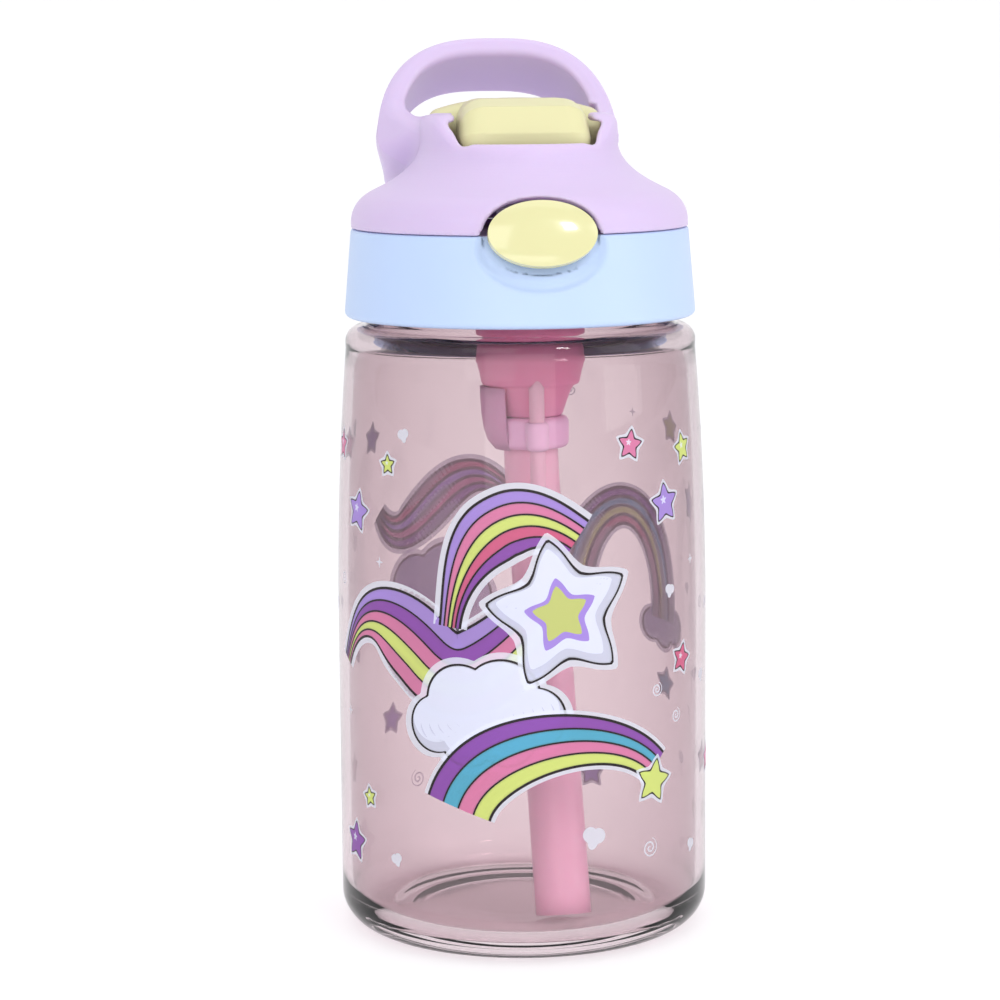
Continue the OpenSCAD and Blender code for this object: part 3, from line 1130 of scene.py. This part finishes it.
    def shooting_star(self) -> None:
        """Draws the large motif: a star that trails a wavy rainbow above a cloud."""
        tail = bezier((-49, 56), (-42, 70), (-33, 68), (-24, 60), 30)
        back = np.concatenate([tail, bezier((-24, 60), (-15, 52), (-9, 62), (0, 70), 34)[1:]])
        t = np.linspace(0, 1, len(back))
        widths = 3.0 + 12.5 * smooth_step(t / 0.42) * (1 - 0.3 * smooth_step((t - 0.7) / 0.3))
        self.rainbow(back, widths, (Ink.PINK, Ink.LIME, Ink.PINK, Ink.PURPLE, Ink.VIOLET), 1, 1.5)
        upper = bezier((-19, 66), (-17, 84), (-6, 92), (6, 83), 44)
        rise = np.linspace(0, 1, 44)
        spread = 4.0 + 8.0 * smooth_step(rise / 0.5) * (1 - 0.55 * smooth_step((rise - 0.6) / 0.4))
        self.rainbow(upper, spread, (Ink.PURPLE, Ink.ROSE, Ink.LIME, Ink.PINK, Ink.VIOLET), 4, 1.5)
        upper_lobes = ((-9.5, -2.5, 5.6), (-4.5, 2.4, 7.0), (3.6, 3.0, 7.6))
        lower_lobes = ((10.0, -0.8, 6.0), (4.5, -4.2, 6.0), (-3, -4.6, 5.8))
        self.cloud((-12.5, 49.5), upper_lobes + lower_lobes, 8, 1.5)
        a = full_turn(160)
        edge = star_edge(a - math.radians(100), 5, 0.6, 0.4)
        spot = (2.6, 68.6)
        self.badge(Ink.MIST, 12, spot, edge * 14.6, 1.5, (0.2, 0.8), 0.35, 9)
        self.patch(Ink.WHITE, 15, (spot[0] - 0.4, spot[1] + 0.6), edge * 12.6 - 0.3, 9)
        self.patch(Ink.VIOLET, 16, (spot[0] + 0.2, spot[1] - 0.2), edge * 7.4, 7)
        self.patch(Ink.LIME, 17, (spot[0], spot[1]), edge * 5.6, 7)

    def lower_rainbow(self) -> None:
        """Draws the four-band arc that ends in a small star."""
        a = np.radians(np.linspace(167, 36, 60))
        path = np.stack([4.8 + 23.0 * np.cos(a), 27.0 + 17.0 * np.sin(a)], -1)
        t = np.linspace(0, 1, 60)
        widths = 13.0 - 6.5 * smooth_step((t - 0.2) / 0.8)
        self.rainbow(path, widths, (Ink.LIME, Ink.PINK, Ink.TEAL, Ink.PURPLE), 12, 1.1)
        a = full_turn(120)
        edge = star_edge(a - math.radians(78), 5, 0.56, 0.35)
        self.badge(Ink.LIME, 16, (23.0, 34.2), edge * 4.4, 0.9, (0.12, 0.45), 0.25)

    def scatter(self) -> None:
        """Draws the small stars, hearts, curls and sparkles all round, laid out one by one."""
        for s, z, size, lean, ink in (
            (18, 100, 3, 80, Ink.PINK), (34, 98, 3, 100, Ink.LIME), (27, 88, 4, 95, Ink.VIOLET),
            (32, 57, 3, 75, Ink.ROSE), (-34, 96, 2, 95, Ink.LIME), (-44, 86, 4, 80, Ink.VIOLET),
            (-40, 30, 2, 100, Ink.LIME), (-46, 20, 4, 85, Ink.PURPLE), (-54, 98, 3, 90, Ink.PINK),
            (48, 34, 3, 90, Ink.PINK), (58, 84, 4, 100, Ink.VIOLET), (54, 22, 2, 80, Ink.LIME),
            (70, 98, 3, 95, Ink.LIME), (-66, 30, 3, 100, Ink.PINK), (-66, 100, 2, 85, Ink.TEAL),
            (-80, 96, 3, 95, Ink.VIOLET), (112, 98, 3, 90, Ink.PINK), (104, 40, 3, 80, Ink.LIME),
            (-88, 36, 3, 100, Ink.VIOLET), (74, 44, 3, 100, Ink.TEAL), (96, 22, 3, 85, Ink.VIOLET),
        ):  # fmt: skip
            self.star((s, z), size, lean, ink)
        for s, z, size, lean in (
            (-30, 102, 1.5, 15), (28, 71, 1.5, -10), (9, 25, 2.5, -12), (-32, 19, 1.5, 20),
            (36, 19, 1.5, -15), (42, 52, 1.5, 10), (62, 66, 1.5, -10), (-58, 66, 1.5, 12),
            (-72, 52, 1.5, -15), (80, 30, 1.5, 10), (115, 55, 1.5, -12), (-105, 30, 1.5, 15),
        ):  # fmt: skip
            self.heart((s, z), size, lean)
        for s, z, size in (
            (24, 52, 1.5), (30, 46, 1.5), (22, 21, 2), (-51, 72, 1.5), (46, 66, 1.5),
            (-70, 76, 2), (66, 30, 1.5), (100, 104, 1.5), (-96, 22, 2), (56, 50, 1.5),
        ):  # fmt: skip
            self.curl((s, z), size)
        for s, z in ((-36, 77), (-48, 46), (36, 76), (50, 100), (-60, 44), (84, 100), (-84, 58)):
            self.sparkle((s, z), 1.1)
        self.dashes((60, 40), 20)
        self.dashes((-64, 86), -20)
        self.dashes((78, 56), 25)

    def back_motifs(self) -> None:
        """Draws the cloud with a ribbon and the rainbow arch on the far side."""
        a = np.radians(np.linspace(188, -8, 64))
        path = np.stack([87 + 12.5 * np.cos(a), 60 + 20.0 * np.sin(a)], -1)
        self.rainbow(path, np.full(64, 7.6), (Ink.ROSE, Ink.LIME, Ink.TEAL, Ink.PURPLE), 1, 1.1)
        small = ((-4.2, 0, 3.4), (0, 1.8, 4.0), (4.2, 0, 3.4), (0, -1.4, 3.2))
        self.cloud((74.5, 56), small, 5, 1.0)
        self.cloud((99.5, 56), small, 5, 1.0)
        ribbon = bezier((-118, 82), (-104, 96), (-96, 64), (-84, 80), 40)
        t = np.linspace(0, 1, 40)
        inks = (Ink.PURPLE, Ink.PINK, Ink.VIOLET, Ink.ROSE)
        self.rainbow(ribbon, 3.0 + 6.5 * np.sin(math.pi * t), inks, 1, 1.3)
        big = ((-8.5, -2, 5.4), (-3, 2.6, 7.2), (5, 1.6, 6.4), (9.5, -2.4, 4.8), (0, -4, 6.2))
        self.cloud((-100.5, 62), big, 5, 1.3)

    def build(self) -> None:
        """Draws everything and makes one piece for each ink."""
        self.shooting_star()
        self.lower_rainbow()
        self.scatter()
        self.back_motifs()
        for ink, patches in self.films.items():
            starts = np.cumsum([0] + [len(points) for points, _ in patches[:-1]])
            points = np.concatenate([points for points, _ in patches])
            faces = np.concatenate([faces + start for (_, faces), start in zip(patches, starts)])
            film = mesh_piece(f"print_{ink.name.lower()}", points, faces, InkFilm(ink).make())
            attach(film, Body.TUB.value)
            LOG.info("%s has %d faces", film.name, len(faces))


# ---------------------------------------------------------------- the lid


@dataclass
class Key:
    """Oval push button, tilted back with the brim of the lid."""

    centre_y: float = -34.1
    centre_z: float = 140.6
    tilt: float = 20.0
    half_w: float = 10.35
    half_h: float = 6.45

    def local(self, x: Array, y: Array, z: Array) -> tuple[Array, Array, Array]:
        """Coordinates on the key's face: across, up the face, and outward along its normal.

        Args:
            x: places across.
            y: places towards the back.
            z: heights.

        Returns:
            The three coordinates, as arrays.
        """
        c, s = math.cos(math.radians(self.tilt)), math.sin(math.radians(self.tilt))
        dy, dz = y - self.centre_y, z - self.centre_z
        return x, dy * s + dz * c, -dy * c + dz * s

    def oval(self, x: Array, v: Array, grow: float) -> Array:
        """Distance-like field of the oval outline, grown outward: (|p/a| - 1) times its size.

        Args:
            x: places across.
            v: places up the face.
            grow: distance added all round.

        Returns:
            The field, negative inside.
        """
        a, b = self.half_w + grow, self.half_h + grow
        ratio = np.sqrt((x / a) ** 2 + (v / b) ** 2)
        slope = np.sqrt((x / a**2) ** 2 + (v / b**2) ** 2) / np.maximum(ratio, 1e-6)
        return (ratio - 1) / np.maximum(slope, 1e-3)

    def build(self, finishes: Finishes) -> None:
        """Makes the polished cap: height 1.3 (1 - q^2.4) over the oval, then a skirt 2.2 deep.

        Args:
            finishes: the bottle's finishes.
        """
        q = np.concatenate([np.sin(np.linspace(0, math.pi / 2, 26)), np.ones(7), np.linspace(0.97, 0, 5)])
        cap = 1.2 * (1 - np.minimum(q[:26], 1) ** 2.6) - 0.45
        n = np.concatenate([cap, np.linspace(-0.6, -2.1, 7), np.full(5, -2.1)])
        a = full_turn(128)
        u = self.half_w * q[:, None] * np.cos(a)
        v = self.half_h * q[:, None] * np.sin(a)
        c, s = math.cos(math.radians(self.tilt)), math.sin(math.radians(self.tilt))
        y = self.centre_y + v * s - n[:, None] * c
        z = self.centre_z + v * c + n[:, None] * s
        piece = grid_piece("push_key", np.stack([u, y, z], -1), finishes.yellow_gloss, turned_over=True)
        hand_in(piece, Body.KEY, "yellow_plastic", "push_button")


@dataclass
class Dome:
    """Lilac cover: a brim that sweeps up into a crown with the spout's slot and the key's notch."""

    seam_z: float = 139.9
    brim_r: float = 33.2
    crown_r: float = 19.4
    crown_z: float = 162.5
    wall: float = 2.0
    slot_half_w: float = 13.3
    slot_front: float = -14.2
    lip_z: float = 156.6
    pin: tuple = (7.2, 157.0)
    hub_r: float = 8.4
    hub_half_w: float = 17.3
    key: Key = field(default_factory=Key)

    def __post_init__(self) -> None:
        """Works out the cover's outer section."""
        self.section = Profile(self.outline())

    def outline(self) -> Array:
        """Outer section: upright brim, round shoulder, a hollow sweep up, then the crown.

        Returns:
            K by 2 array of radius and height.
        """
        shoulder = bezier((self.brim_r, 141.0), (self.brim_r, 144.0), (31.4, 146.0), (29, 147.2), 14)
        sweep = bezier((29, 147.2), (24.8, 149.2), (19.7, 152.0), (self.crown_r, 156.5), 18)
        crown = arc((self.crown_r - 3, self.crown_z - 3), 3, 0, 90, 8)
        ends = np.array([[0, self.crown_z], [0, self.seam_z - 8], [self.brim_r, self.seam_z - 8]])
        return np.concatenate([shoulder, sweep[1:], crown, ends])

    def outer(self, x: Array, y: Array, z: Array) -> Array:
        """Distance to the outer skin as if there were no openings."""
        return self.section.distance(np.hypot(x, y), z)

    def crown_top(self, y: Array) -> Array:
        """Height of the cheeks: an S curve from the lip at the front up to the crown."""
        return self.lip_z + (self.crown_z - self.lip_z) * smooth_step((y - self.slot_front + 0.6) / 9.0)

    def slot(self, x: Array, y: Array, z: Array) -> Array:
        """Field of the slot for the spout, with corners rounded by 2.5 mm in plan.

        Args:
            x: places across.
            y: places towards the back.
            z: heights.

        Returns:
            The field at those places, negative inside.
        """
        across, ahead = np.abs(x) - self.slot_half_w + 2.5, self.slot_front - y + 2.5
        outside = np.hypot(np.maximum(across, 0), np.maximum(ahead, 0))
        plan = outside + np.minimum(np.maximum(across, ahead), 0) - 2.5
        return np.maximum(plan, np.maximum(y - self.pin[0], 141.5 - z))

    def hub_room(self, x: Array, y: Array, z: Array) -> Array:
        """Field of the room that the hub turns in: a cylinder about the pin."""
        hub = np.hypot(y - self.pin[0], z - self.pin[1]) - self.hub_r
        return smooth_max(hub, np.abs(x) - self.hub_half_w, 0.6)

    def saddle(self, x: Array, y: Array, z: Array) -> Array:
        """Field of the hub's room, open upwards so that the hub can be put in."""
        chimney = np.maximum(np.abs(y - self.pin[0]) - self.hub_r, self.pin[1] - z)
        return np.minimum(self.hub_room(x, y, z), smooth_max(chimney, np.abs(x) - self.hub_half_w, 0.6))

    def distance(self, x: Array, y: Array, z: Array) -> Array:
        """Field of the finished cover: shell, less slot, saddle, cheeks and notch.

        Args:
            x: places across.
            y: places towards the back.
            z: heights.

        Returns:
            The field at those places, negative inside.
        """
        skin = self.outer(x, y, z)
        shell = smooth_max(skin, -(skin + self.wall), 0.3)
        shell = smooth_max(shell, self.seam_z - z, 0.4)
        shell = smooth_max(shell, z - self.crown_top(y), 1.6)
        shell = smooth_max(shell, -self.slot(x, y, z), 1.2)
        shell = smooth_max(shell, -self.saddle(x, y, z), 0.8)
        u, v, n = self.key.local(x, y, z)
        notch = np.minimum(self.key.oval(u, v, 0.75), self.key.oval(u, v - 0.5, 0.75))
        below = np.maximum(np.abs(x) - self.key.half_w - 0.9, z - self.key.centre_z)
        notch = np.maximum(smooth_min(notch, below, 0.8), -n - 14)
        return smooth_max(shell, -notch, 0.7)

    def build(self, finishes: Finishes) -> None:
        """Makes the cover.

        Args:
            finishes: the bottle's finishes.
        """
        edge = self.brim_r + 1
        piece = level_surface(
            "dome_shell", self.distance, (-edge, -edge, 138.9), (edge, edge, 163.4), 0.5, finishes.lilac
        )
        hand_in(piece, Body.LID, "lilac_plastic", "dome_cover")


@dataclass
class Loop:
    """Lilac carrying loop: a soft-edged band that leans back and flows into the dome."""

    dome: Dome
    centre: tuple = (-2.6, 13.6, 147.0)
    lean: float = 28.0
    half_w: float = 24.6
    height: float = 29.7
    thickness: float = 4.2
    width: float = 17.4
    edge: float = 1.6
    power: float = 2.8
    web_top: float = 11.0
    foot_taper: float = 7.0
    leg_taper: float = 2.6

    def local(self, x: Array, y: Array, z: Array) -> tuple[Array, Array, Array]:
        """Coordinates in the loop's own plane: across, up its lean, and along the band's width.

        Args:
            x: places across.
            y: places towards the back.
            z: heights.

        Returns:
            The three coordinates, as arrays.
        """
        c, s = math.cos(math.radians(self.lean)), math.sin(math.radians(self.lean))
        dy, dz = y - self.centre[1], z - self.centre[2]
        return x - self.centre[0], dy * s + dz * c, dy * c - dz * s

    def distance(self, x: Array, y: Array, z: Array) -> Array:
        """Field of the band round the curve |x/a|^p + |z/h|^p = 1, blended into the dome.

        Args:
            x: places across.
            y: places towards the back.
            z: heights.

        Returns:
            The field at those places, negative inside.
        """
        u, v, w = self.local(x, y, z)
        a = self.half_w - self.foot_taper * smooth_step((6.5 - v) / 9.0) - 0.75 * np.maximum(-w - 7.0, 0)
        a = a - self.leg_taper * smooth_step((158 - z) / 10.0)
        h = self.height
        vv = np.maximum(v, 0)
        ratio = ((np.abs(u) / a) ** self.power + (vv / h) ** self.power + 1e-9) ** (1 / self.power)
        gu = (np.abs(u) / a) ** (self.power - 1) / a
        gv = (vv / h) ** (self.power - 1) / h
        slope = np.sqrt(gu**2 + gv**2) / ratio ** (self.power - 1)
        outside = (ratio - 1) / np.maximum(slope, 1e-3)
        hollow = smooth_max(outside + self.thickness, self.web_top - v + 0.25 * w, 4.5)
        band = smooth_max(outside, -hollow, 0.6)
        flare = smooth_step((self.web_top + 5 - v) / 14.0)
        front, back = self.width / 2 + 9.0 * flare, self.width / 2 + 2.0 * flare
        depth = np.maximum(-w - front, w - back)
        p, q = band + self.edge, depth + self.edge
        bar = np.hypot(np.maximum(p, 0), np.maximum(q, 0)) + np.minimum(np.maximum(p, q), 0) - self.edge
        skin = self.dome.outer(x, y, z)
        joined = smooth_min(bar, skin + 0.25, 3.0)
        piece = smooth_max(smooth_max(joined, -(skin + 1.0), 0.3), bar - 4.5, 0.5)
        piece = smooth_max(piece, -self.dome.hub_room(x, y, z), 0.6)
        return np.maximum(piece, -self.dome.slot(x, y, z))

    def build(self, finishes: Finishes) -> None:
        """Makes the loop.

        Args:
            finishes: the bottle's finishes.
        """
        piece = level_surface(
            "carrying_loop", self.distance, (-32, -14, 142.0), (28, 36, 177.8), 0.5, finishes.lilac
        )
        hand_in(piece, Body.LID, "lilac_plastic", "carry_handle")


@dataclass
class Collar:
    """Blue screw collar with a dish round the key."""

    low_z: float = 122.4
    seam_z: float = 139.8
    low_r: float = 34.7
    top_r: float = 33.3
    dish_depth: float = 0.95
    dish_reach: float = 2.3
    key: Key = field(default_factory=Key)

    def __post_init__(self) -> None:
        """Works out the collar's section."""
        corners = np.concatenate(
            [
                [[31.8, self.low_z + 0.4], [32.4, self.low_z]],
                arc((self.low_r - 1.25, self.low_z + 1.2), 1.2, -90, -5, 7),
                arc((self.top_r - 0.6, self.seam_z - 0.6), 0.6, 5, 90, 5),
                [[30.8, self.seam_z], [30.8, self.seam_z - 7], [31.8, self.seam_z - 8]],
            ]
        )
        self.section = Profile(corners)

    def distance(self, x: Array, y: Array, z: Array) -> Array:
        """Field of the ring, less the dish and the key's pocket.

        The dish goes d (1 - (1 - t)^2) deep, with t from 0 at its rim to 1 where it is flat.

        Args:
            x: places across.
            y: places towards the back.
            z: heights.

        Returns:
            The field at those places, negative inside.
        """
        ring = self.section.distance(np.hypot(x, y), z)
        u, v, n = self.key.local(x, y, z)
        rise = (z - self.low_z) / (self.seam_z - self.low_z)
        skin = np.hypot(x, y) - self.low_r + (self.low_r - self.top_r) * rise
        rim = self.key.oval(u, v + 2.0, 2.3) / self.dish_reach
        scoop = self.dish_depth * np.where(rim < 0, 1 - (1 + np.maximum(rim, -1)) ** 2, -2 * rim)
        dished = smooth_max(ring, np.where(y < 0, skin + scoop, ring - 9), 0.3)
        pocket = np.maximum(self.key.oval(u, v, 0.7), -n - 4.2)
        return smooth_max(dished, -pocket, 0.35)

    def build(self, finishes: Finishes) -> None:
        """Makes the collar.

        Args:
            finishes: the bottle's finishes.
        """
        edge = self.low_r + 1
        piece = level_surface(
            "screw_collar", self.distance, (-edge, -edge, 121.4), (edge, edge, 140.8), 0.5, finishes.blue
        )
        hand_in(piece, Body.LID, "blue_plastic", "collar")


@dataclass
class Spout:
    """Yellow flip spout: a hollow front block over the nozzle, and the crowned hub behind it."""

    pin: tuple = (7.2, 157.0)
    pin_r: float = 1.6
    half_w: float = 12.9
    front: float = -13.5
    top: float = 165.0
    wall: float = 1.8
    hub_half_w: float = 17.0
    hub_r: float = 8.0
    post_x: float = 10.4
    post_half_w: float = 1.6
    post_r: float = 4.4

    def side(self, y: Array, z: Array, low: float, back: float) -> Array:
        """Distance to the block's side outline, with its sloping nose, closed at low and back.

        Args:
            y: places towards the back.
            z: heights.
            low: height of its lower edge.
            back: place of its rear edge.

        Returns:
            The distance, negative inside.
        """
        nose = [[self.front, low], [self.front, 158.6], [self.front + 3.4, 163.6]]
        return outline_distance(y, z, np.array(nose + [[-5, self.top], [back, self.top], [back, low]]))

    def block(self, x: Array, y: Array, z: Array) -> Array:
        """Field of the block: rounded 3 mm over both sides, and hollow from below.

        Args:
            x: places across.
            y: places towards the back.
            z: heights.

        Returns:
            The field at those places, negative inside.
        """
        across = np.abs(x) - self.half_w + 0.10 * np.maximum(z - 157, 0)
        body = smooth_max(self.side(y, z, 153.6, 3), across, 5.0)
        room = smooth_max(self.side(y, z, 140.0, 14), across, 5.0) + self.wall
        hub = np.hypot(y - self.pin[0], z - self.pin[1]) - self.hub_r - 0.5
        return smooth_max(smooth_max(body, -room, 0.4), -hub, 0.5)

    def hub(self, x: Array, y: Array, z: Array) -> Array:
        """Field of the hub: a barrel about the pin, 8 mm in the middle and less at its ends.

        Taken out of it are the pin's bore, the spring's room, a room for each bearing post that
        stays clear through the flip, and the way for the nozzle's root.

        Args:
            x: places across.
            y: places towards the back.
            z: heights.

        Returns:
            The field at those places, negative inside.
        """
        dy, dz = y - self.pin[0], z - self.pin[1]
        off = np.hypot(dy, dz)
        radius = self.hub_r - 2.6 * (np.abs(x) / self.hub_half_w) ** 2.4
        barrel = smooth_max(off - radius, np.abs(x) - self.hub_half_w, 1.6)
        corner = np.maximum(dz - self.post_r, -self.post_r - dy)
        swing = np.maximum(corner, (dz - dy - self.post_r) / math.sqrt(2))
        beside = np.abs(np.abs(x) - self.post_x) - self.post_half_w
        posts = np.maximum(np.minimum(off - self.post_r, swing), beside)
        spring = np.maximum(off - 3.4, np.abs(x) - 3.4)
        root = np.maximum(np.maximum(np.abs(x) - 6.2, dy + 3.0), dz - 3.7)
        rooms = np.minimum(np.minimum(posts, spring), np.minimum(root, off - self.pin_r))
        return smooth_max(barrel, -rooms, 0.3)

    def build(self, finishes: Finishes) -> None:
        """Makes the block and the hub.

        Args:
            finishes: the bottle's finishes.
        """
        block = level_surface(
            "spout_block", self.block, (-14.5, -15, 152.5), (14.5, 4.5, 166), 0.4, finishes.yellow
        )
        hand_in(block, Body.SPOUT, "yellow_plastic", "spout_shield")
        hub = level_surface("spout_hub", self.hub, (-18.5, -2, 148), (18.5, 16.4, 166), 0.45, finishes.yellow)
        hand_in(hub, Body.SPOUT, "yellow_plastic", "spout_yoke")


@dataclass
class Drink:
    """Silicone valve, ring, straw and air tube that hang inside the tub."""

    x: float = 2.0
    straw_r: float = 5.4
    straw_bore: float = 4.2
    tube_r: float = 1.5
    foot: tuple = (4.9, -21.8, 6.0)
    bend_z: float = 93.5

    def cone(self) -> Array:
        """Outer and inner section of the stepped valve.

        Returns:
            K by 2 array of radius and height.
        """
        return np.array(
            [
                [5.5, 102.5], [6.0, 102.5], [6.4, 102.9], [7.4, 105.8], [8.5, 108.6], [9.0, 109.0],
                [9.5, 109.3], [9.8, 110.0], [10.1, 112.5], [10.75, 115.6], [10.8, 116.2],
                [10.8, 137.5], [8.6, 137.5],
                [8.6, 118.0], [8.0, 117.5], [5.5, 110.5],
            ]
        )  # fmt: skip

    def route(self) -> Array:
        """Centre line of the straw: upright in the ring, a soft bend, then straight to the foot.

        Returns:
            K by 3 array.
        """
        top = np.array([self.x, 0.0, 110.0])
        knee = np.array([self.x, 0.0, self.bend_z])
        foot = np.array(self.foot)
        down = (foot - knee) / np.linalg.norm(foot - knee)
        before, after = knee + np.array([0, 0, 5.0]), knee + 5.0 * down
        t = np.linspace(0, 1, 9)[1:-1, None]
        bend = (1 - t) ** 2 * before + 2 * (1 - t) * t * knee + t**2 * after
        upper = np.linspace(top, before, 5)
        lower = np.linspace(after, foot, 20)
        return np.concatenate([upper, bend, lower])

    def clamp(self, x: Array, y: Array, z: Array) -> Array:
        """Field of the ring: a short round band that bulges over the air tube, with a bore for each.

        Args:
            x: places across.
            y: places towards the back.
            z: heights.

        Returns:
            The field at those places, negative inside.
        """
        straw = np.hypot(x - self.x, y)
        tube = np.hypot(x - self.x, y + 9.4 - 0.085 * (z - 98.95))
        band = smooth_min(straw - 7.6, tube - self.tube_r - 0.8, 1.5)
        band = smooth_max(band, np.abs(z - 99.25) - 3.15, 1.6)
        return smooth_max(band, -np.minimum(straw - self.straw_r - 0.1, tube - self.tube_r - 0.1), 0.3)

    def sleeve(self, material: bpy.types.Material) -> bpy.types.Object:
        """Makes the sleeve that cups the valve: q + f (p - q) turned about the valve's axis.

        q is the inner section, p the outer one, and f = sqrt(1 - t^2) over the 106 degrees that
        it reaches round, so that it thins to an edge at both ends.

        Args:
            material: its finish.

        Returns:
            The new piece.
        """
        outer = np.array([[10.1, 108.8], [10.05, 106], [9.85, 103], [9.4, 100], [8.6, 97.6], [7.2, 95.9]])
        inner = np.array([[8.85, 108.6], [8.7, 106], [8.5, 103], [8.2, 100], [7.8, 98], [6.9, 96.0]])
        t = np.linspace(-1, 1, 61)
        thick = np.sqrt(1 - t**2)[:, None]
        a = math.radians(175) + math.radians(53) * t
        section = np.concatenate([outer, inner[::-1]])
        base = np.concatenate([inner, inner[::-1]])
        ring = base[:, None] + (section - base)[:, None] * thick
        r, z = ring[..., 0], ring[..., 1]
        points = np.stack([self.x + r * np.cos(a), r * np.sin(a), z], -1)
        return grid_piece("valve_cup", points, material, True, False, turned_over=True)

    def build(self, finishes: Finishes) -> None:
        """Makes the valve, its cup, the ring and the straw.

        Args:
            finishes: the bottle's finishes.
        """
        valve = turned("stepped_valve", self.cone(), finishes.silicone, (self.x, 0), 96)
        hand_in(valve, Body.LID, "pink_silicone", "valve_boot")
        band = level_surface("straw_band", self.clamp, (-7, -13, 95.4), (11, 9, 103.2), 0.35, finishes.ring)
        hand_in(band, Body.LID, "pale_ring", "straw_ring")
        straw = swept("drinking_straw", self.route(), self.straw_r, self.straw_bore, finishes.straw)
        hand_in(straw, Body.LID, "straw_plastic", "straw")
        hand_in(self.sleeve(finishes.sleeve), Body.LID, "mauve_silicone", "valve_sleeve")


@dataclass
class Carried:
    """CAD nodes whose shape is already right: they keep their mesh and get a finish."""

    plan: dict = field(
        default_factory=lambda: {
            "deck_plate": "lilac",
            "lid_gasket": "seal",
            "spout_pin": "steel",
            "spout_spring": "steel",
            "button_spring": "steel",
            "latch_slider": "lilac",
            "button_guide": "lilac",
            "vent_valve": "seal",
            "vent_tube": "straw",
            "spout_mouthpiece": "silicone",
        }
    )

    def dress(self, finishes: Finishes) -> None:
        """Gives each carried node its finish.

        Args:
            finishes: the bottle's finishes.
        """
        for node, finish in self.plan.items():
            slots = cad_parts[node].material_slots
            slots[0].material = getattr(finishes, finish)
            LOG.info("%s keeps its shape and is %s", node, finish)


# ---------------------------------------------------------------- stage, light and camera


@dataclass
class Studio:
    """Pale sweep, large soft lights and the camera."""

    distance: float = 610.1
    height: float = 173.7
    turn: float = 7.5
    yaw: float = 0.40
    pitch: float = -8.24
    roll: float = 0.46
    lens: float = 111.05

    def floor(self) -> None:
        """Makes a pale floor that curves up into a backdrop: a profile carried along X."""
        bend = arc((1200, 500), 500, -90, 0, 24)
        line = np.concatenate([[[-1500, 0]], bend, [[1700, 2400]]])
        x, y, z = np.array([[-3000.0], [3000.0]]), line[:, 0], line[:, 1]
        points = np.stack(np.broadcast_arrays(x, y, z), -1)
        material = bpy.data.materials.new("backlit_white_paper")
        material.use_nodes = True
        shader = material.node_tree.nodes["Principled BSDF"]
        shader.inputs["Base Color"].default_value = linear("#DCDCDE")
        shader.inputs["Roughness"].default_value = 0.9
        shader.inputs["Emission Color"].default_value = (1, 1, 1, 1)
        shader.inputs["Emission Strength"].default_value = 0.36
        grid_piece("paper_sweep", points, material, wrap_columns=False)

    def lamp(self, name: str, place: tuple, size: tuple, watts: float) -> None:
        """Adds a rectangular soft box that faces the middle of the bottle.

        Args:
            name: name of the lamp.
            place: its place in millimetres.
            size: its width and height in millimetres.
            watts: its power.
        """
        light = bpy.data.lights.new(name, "AREA")
        light.shape = "RECTANGLE"
        light.size, light.size_y = size[0] * MM, size[1] * MM
        light.energy = watts
        holder = bpy.data.objects.new(name, light)
        spot = Vector(place) * MM
        holder.location = spot
        holder.rotation_euler = (Vector((0, 0, 0.09)) - spot).to_track_quat("-Z", "Y").to_euler()
        bpy.context.scene.collection.objects.link(holder)

    def camera(self) -> None:
        """Places the camera from its distance, height and three small angles."""
        data = bpy.data.cameras.new("camera")
        data.sensor_width = 36.0
        data.lens = self.lens
        data.clip_start = 0.05
        holder = bpy.data.objects.new("camera", data)
        aim = (
            Matrix.Rotation(math.radians(self.yaw), 3, "Z")
            @ Matrix.Rotation(math.radians(self.pitch), 3, "X")
            @ Matrix.Rotation(math.radians(self.roll), 3, "Y")
        )
        turn = Matrix.Rotation(math.radians(-self.turn), 3, "Z")
        aim = turn @ aim
        facing = Matrix((aim.col[0], aim.col[2], -aim.col[1])).transposed()
        place = turn @ Vector((0, -self.distance, self.height)) * MM
        holder.matrix_world = Matrix.Translation(place) @ facing.to_4x4()
        bpy.context.scene.collection.objects.link(holder)
        bpy.context.scene.camera = holder

    def build(self) -> None:
        """Makes the stage, the lights and the camera."""
        self.floor()
        self.lamp("front_box", (-500, -900, 700), (700, 700), 2.6)
        self.lamp("right_box", (900, -500, 500), (600, 900), 2.2)
        self.lamp("top_box", (0, 100, 1100), (900, 900), 2.0)
        self.lamp("low_box", (-150, -1100, 110), (900, 200), 1.0)
        self.lamp("key_box", (396, -875, 930), (170, 170), 2.2)
        world = bpy.data.worlds.new("white_room")
        world.use_nodes = True
        room = world.node_tree.nodes["Background"]
        room.inputs["Color"].default_value = (1, 1, 1, 1)
        eye = add_node(world.node_tree, "ShaderNodeLightPath").outputs["Is Camera Ray"]
        glow = add_node(world.node_tree, "ShaderNodeMapRange", Value=eye, To_Min=0.72, To_Max=1.0)
        world.node_tree.links.new(glow.outputs[0], room.inputs["Strength"])
        bpy.context.scene.world = world
        bpy.context.scene.view_settings.view_transform = "Standard"
        self.camera()


def main() -> None:
    """Builds the bottle's looks."""
    logging.basicConfig(level=logging.INFO, format="%(name)s: %(message)s")
    finishes = Finishes()
    Studio().build()
    tub = Tub()
    tub.build(finishes)
    Prints(tub).build()
    Collar().build(finishes)
    dome = Dome()
    dome.build(finishes)
    Loop(dome).build(finishes)
    Key().build(finishes)
    Spout().build(finishes)
    Drink().build(finishes)
    Carried().dress(finishes)


if __name__ == "__main__":
    main()
